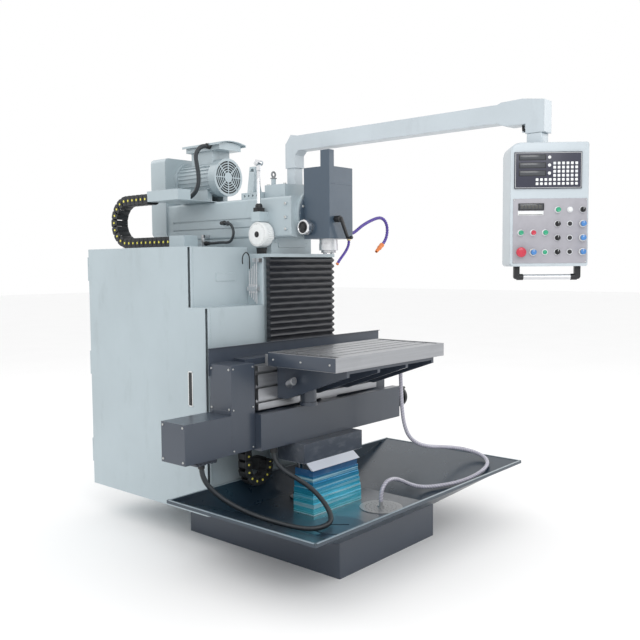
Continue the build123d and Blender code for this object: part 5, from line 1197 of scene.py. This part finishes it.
class MILL_OT_knee_details(MillOperator):
    """Handwheel, cover screws and door furniture"""

    bl_idname = "mill.knee_details"
    bl_label = "Handwheel, screws and door"

    def execute(self, context):
        bm = bmesh.new()
        wheel = along_x(0.740, 0.030, 0.700)
        add_lathe(bm, [(0.0, 0.0), (0.021, 0.0), (0.022, 0.002), (0.022, 0.032), (0.019, 0.034), (0.0, 0.034)],
                  wheel, 0, 40)
        add_lathe(bm, [(0.020, 0.010), (0.056, 0.020), (0.058, 0.026), (0.064, 0.030), (0.069, 0.025), (0.070, 0.016),
                       (0.069, 0.006), (0.064, 0.002), (0.058, 0.006), (0.056, 0.012), (0.020, 0.002)], wheel, 0, 64)
        grip = along_x(0.768, 0.030, 0.750)
        add_lathe(bm, [(0.006, -0.004), (0.006, 0.006), (0.0085, 0.010), (0.0110, 0.026), (0.0106, 0.044),
                       (0.0090, 0.058), (0.0060, 0.0635), (0.0, 0.064)], grip, 0, 32)
        wheel_piece = make_piece("handwheel_rim", bm, ["black"], "handwheel")
        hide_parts("x_handwheel")

        bm = bmesh.new()
        radius = sizes().screw_radius
        for y in (0.0, 0.136):
            for z in (0.835, 1.045):
                screw(bm, along_x(-0.8152, y, z, True), radius, 0)
        for y in (-0.002, 0.154):
            for z in (0.612, 0.787):
                screw(bm, along_x(-1.1312, y, z, True), radius, 0)
        for x in (-0.802, -0.660):
            for z in (0.612, 0.830, 1.048):
                screw(bm, along_y(x, -0.0172, z), radius * 0.8, 0)
        make_piece("cover_screws", bm, ["zinc"], "knee")

        bm = bmesh.new()
        frame_x = -0.7455
        for low, high in (((0.376, 0.797), (0.416, 0.803)), ((0.376, 0.992), (0.416, 0.998)),
                          ((0.376, 0.797), (0.382, 0.998)), ((0.410, 0.797), (0.416, 0.998))):
            add_box(bm, (frame_x - 0.0015, *low), (frame_x + 0.001, *high), 0.0008, None, 0)
        make_piece("door_latch_frame", bm, ["white"], "door")

        # Thin light strips along the tray's rim top: a painted highlight where the folded rim catches light.
        bm = bmesh.new()
        highlight_strips = [((-1.056, -0.810), (0.897, -0.798)), ((-1.056, 0.221), (0.897, 0.233)),
                ((-1.056, -0.810), (-1.044, 0.233)), ((0.885, -0.810), (0.897, 0.233))]
        for low, high in highlight_strips:
            add_box(bm, (*low, 0.3585), (*high, 0.3632), 0.0015, None, 0)
        make_piece("tray_rim_painted_highlight", bm, ["rim"], "base")

        bm = bmesh.new()
        elbow = spline_line([mm(*point) for point in (
            (-297, -95, 930), (-360, -95, 930), (-440, -97, 932), (-470, -104, 938), (-486, -122, 948),
            (-490, -160, 962))], 0.004)
        add_tube(bm, elbow, 0.0180, 0, 20)
        for end, back in ((elbow[0], elbow[3]), (elbow[-1], elbow[-4])):
            add_lathe(bm, [(0.0181, -0.004), (0.0220, -0.004), (0.0220, 0.016), (0.0181, 0.016)],
                      local_frame(end, (0, 0, 1), back - end), 0, 24)
        make_piece("chip_elbow_tube", bm, ["satin"], "table")

        bm = bmesh.new()
        add_box(bm, (-0.5735, -0.526, 1.047), (-0.5705, -0.049, 1.1185), 0.001, None, 0)
        for y in (-0.49, -0.29, -0.09):
            screw(bm, along_x(-0.5735, y, 1.083, True), 0.0055, 1)
        make_piece("table_end_plate", bm, ["slate", "zinc"], "table")

        bm = bmesh.new()
        add_prism(bm, [(-0.020, 0.0), (0.020, 0.0), (0.026, 0.037), (-0.026, 0.037)], -0.020, 0.020,
                  local_frame((-0.232, 0.331, 1.6605), (1, 0, 0), (0, -1, 0)), 0, 0.002)
        make_piece("dial_stop_block", bm, ["black"], "base")

        bm = bmesh.new()
        lead = spline_line([mm(*point) for point in (
            (-309, 359, 1570), (-309, 356, 1620), (-318, 352, 1655), (-345, 348, 1672), (-372, 346, 1655),
            (-380, 346, 1622), (-374, 348, 1600))], 0.003)
        add_tube(bm, lead, 0.0036, 0, 10)
        make_piece("oil_lead", bm, ["black"], "base")

        bm = bmesh.new()
        for y in (0.292, 0.366):
            screw(bm, along_x(-0.3193, y, 1.453, True), 0.0045, 0)
        make_piece("oil_block_screws", bm, ["zinc"], "base")
        return {"FINISHED"}


class MILL_OT_stage(MillOperator):
    """Floor, soft light and the camera"""

    bl_idname = "mill.stage"
    bl_label = "Stage"

    def execute(self, context):
        scene = context.scene
        mesh = bpy.data.meshes.new("floor")
        mesh.from_pydata([(-40, -40, 0), (40, -40, 0), (40, 40, 0), (-40, 40, 0)], [], [(0, 1, 2, 3)])
        ground = Finish("floor_paper", roughness=0.9, specular_ior_level=0.1)
        cloud = ground.noise(1.2, 3.0)
        ground.feed(base_color=ground.mix(cloud, (0.93, 0.93, 0.93), (0.96, 0.96, 0.96)))
        mesh.materials.append(ground.material)
        floor = bpy.data.objects.new("floor", mesh)
        scene.collection.objects.link(floor)

        world = bpy.data.worlds.new("studio")
        world.use_nodes = True
        world.node_tree.nodes["Background"].inputs[0].default_value = (1.0, 1.0, 1.0, 1.0)
        world.node_tree.nodes["Background"].inputs[1].default_value = 1.0
        scene.world = world
        scene.view_settings.view_transform = "Standard"
        for name, place, size, power, aim in (
                ("key", (-4.5, -5.5, 5.5), 4.0, 170, (0, 0, 1.2)),
                ("side", (5.0, -4.0, 3.5), 3.5, 50, (0, 0, 1.0)),
                ("back", (-2.0, 6.0, 5.0), 4.0, 60, (0, 0, 1.5))):
            light = bpy.data.lights.new(name, "AREA")
            light.shape = "SQUARE"
            light.size = size
            light.energy = power
            lamp = bpy.data.objects.new(name, light)
            lamp.location = place
            lamp.rotation_euler = (Vector(aim) - Vector(place)).to_track_quat("-Z", "Y").to_euler()
            scene.collection.objects.link(lamp)

        camera = bpy.data.objects.new("camera", bpy.data.cameras.new("camera"))
        right, up = Vector((0.6553, -0.7554, -0.0071)), Vector((0.0568, 0.0399, 0.9976))
        back = right.cross(up).normalized()
        right = up.cross(back).normalized()
        turn = Matrix((right, up.normalized(), back)).transposed().to_4x4()
        camera.matrix_world = Matrix.Translation(Vector((-3.6127, -3.0652, 1.5898))) @ turn
        camera.data.lens = 44.53
        camera.data.sensor_width = 36.0
        scene.collection.objects.link(camera)
        scene.camera = camera
        return {"FINISHED"}


class MILL_PT_panel(bpy.types.Panel):
    """Lists the machine's sizes, colours and operators"""

    bl_idname = "MILL_PT_panel"
    bl_label = "Milling machine"
    bl_space_type = "VIEW_3D"
    bl_region_type = "UI"
    bl_category = "Mill"

    def draw(self, context):
        layout = self.layout
        for group in (context.scene.mill_sizes, context.scene.mill_colours):
            box = layout.box()
            for name in group.__annotations__:
                box.prop(group, name)
        for operator in OPERATORS:
            layout.operator(operator.bl_idname)


OPERATORS = [
    MILL_OT_finishes, MILL_OT_bellows, MILL_OT_cable_chains, MILL_OT_conduits, MILL_OT_drain_hose, MILL_OT_coolant,
    MILL_OT_head_details, MILL_OT_ram_details, MILL_OT_pendant, MILL_OT_controls, MILL_OT_knee_details, MILL_OT_stage,
]
CLASSES = [MillSizes, MillColours, *OPERATORS, MILL_PT_panel]


def register():
    for item in CLASSES:
        bpy.utils.register_class(item)
    bpy.types.Scene.mill_sizes = PointerProperty(type=MillSizes)
    bpy.types.Scene.mill_colours = PointerProperty(type=MillColours)


def unregister():
    del bpy.types.Scene.mill_colours
    del bpy.types.Scene.mill_sizes
    for item in reversed(CLASSES):
        bpy.utils.unregister_class(item)


def main():
    register()
    for operator in OPERATORS:
        group, name = operator.bl_idname.split(".")
        getattr(getattr(bpy.ops, group), name)()


if __name__ == "__main__":
    main()
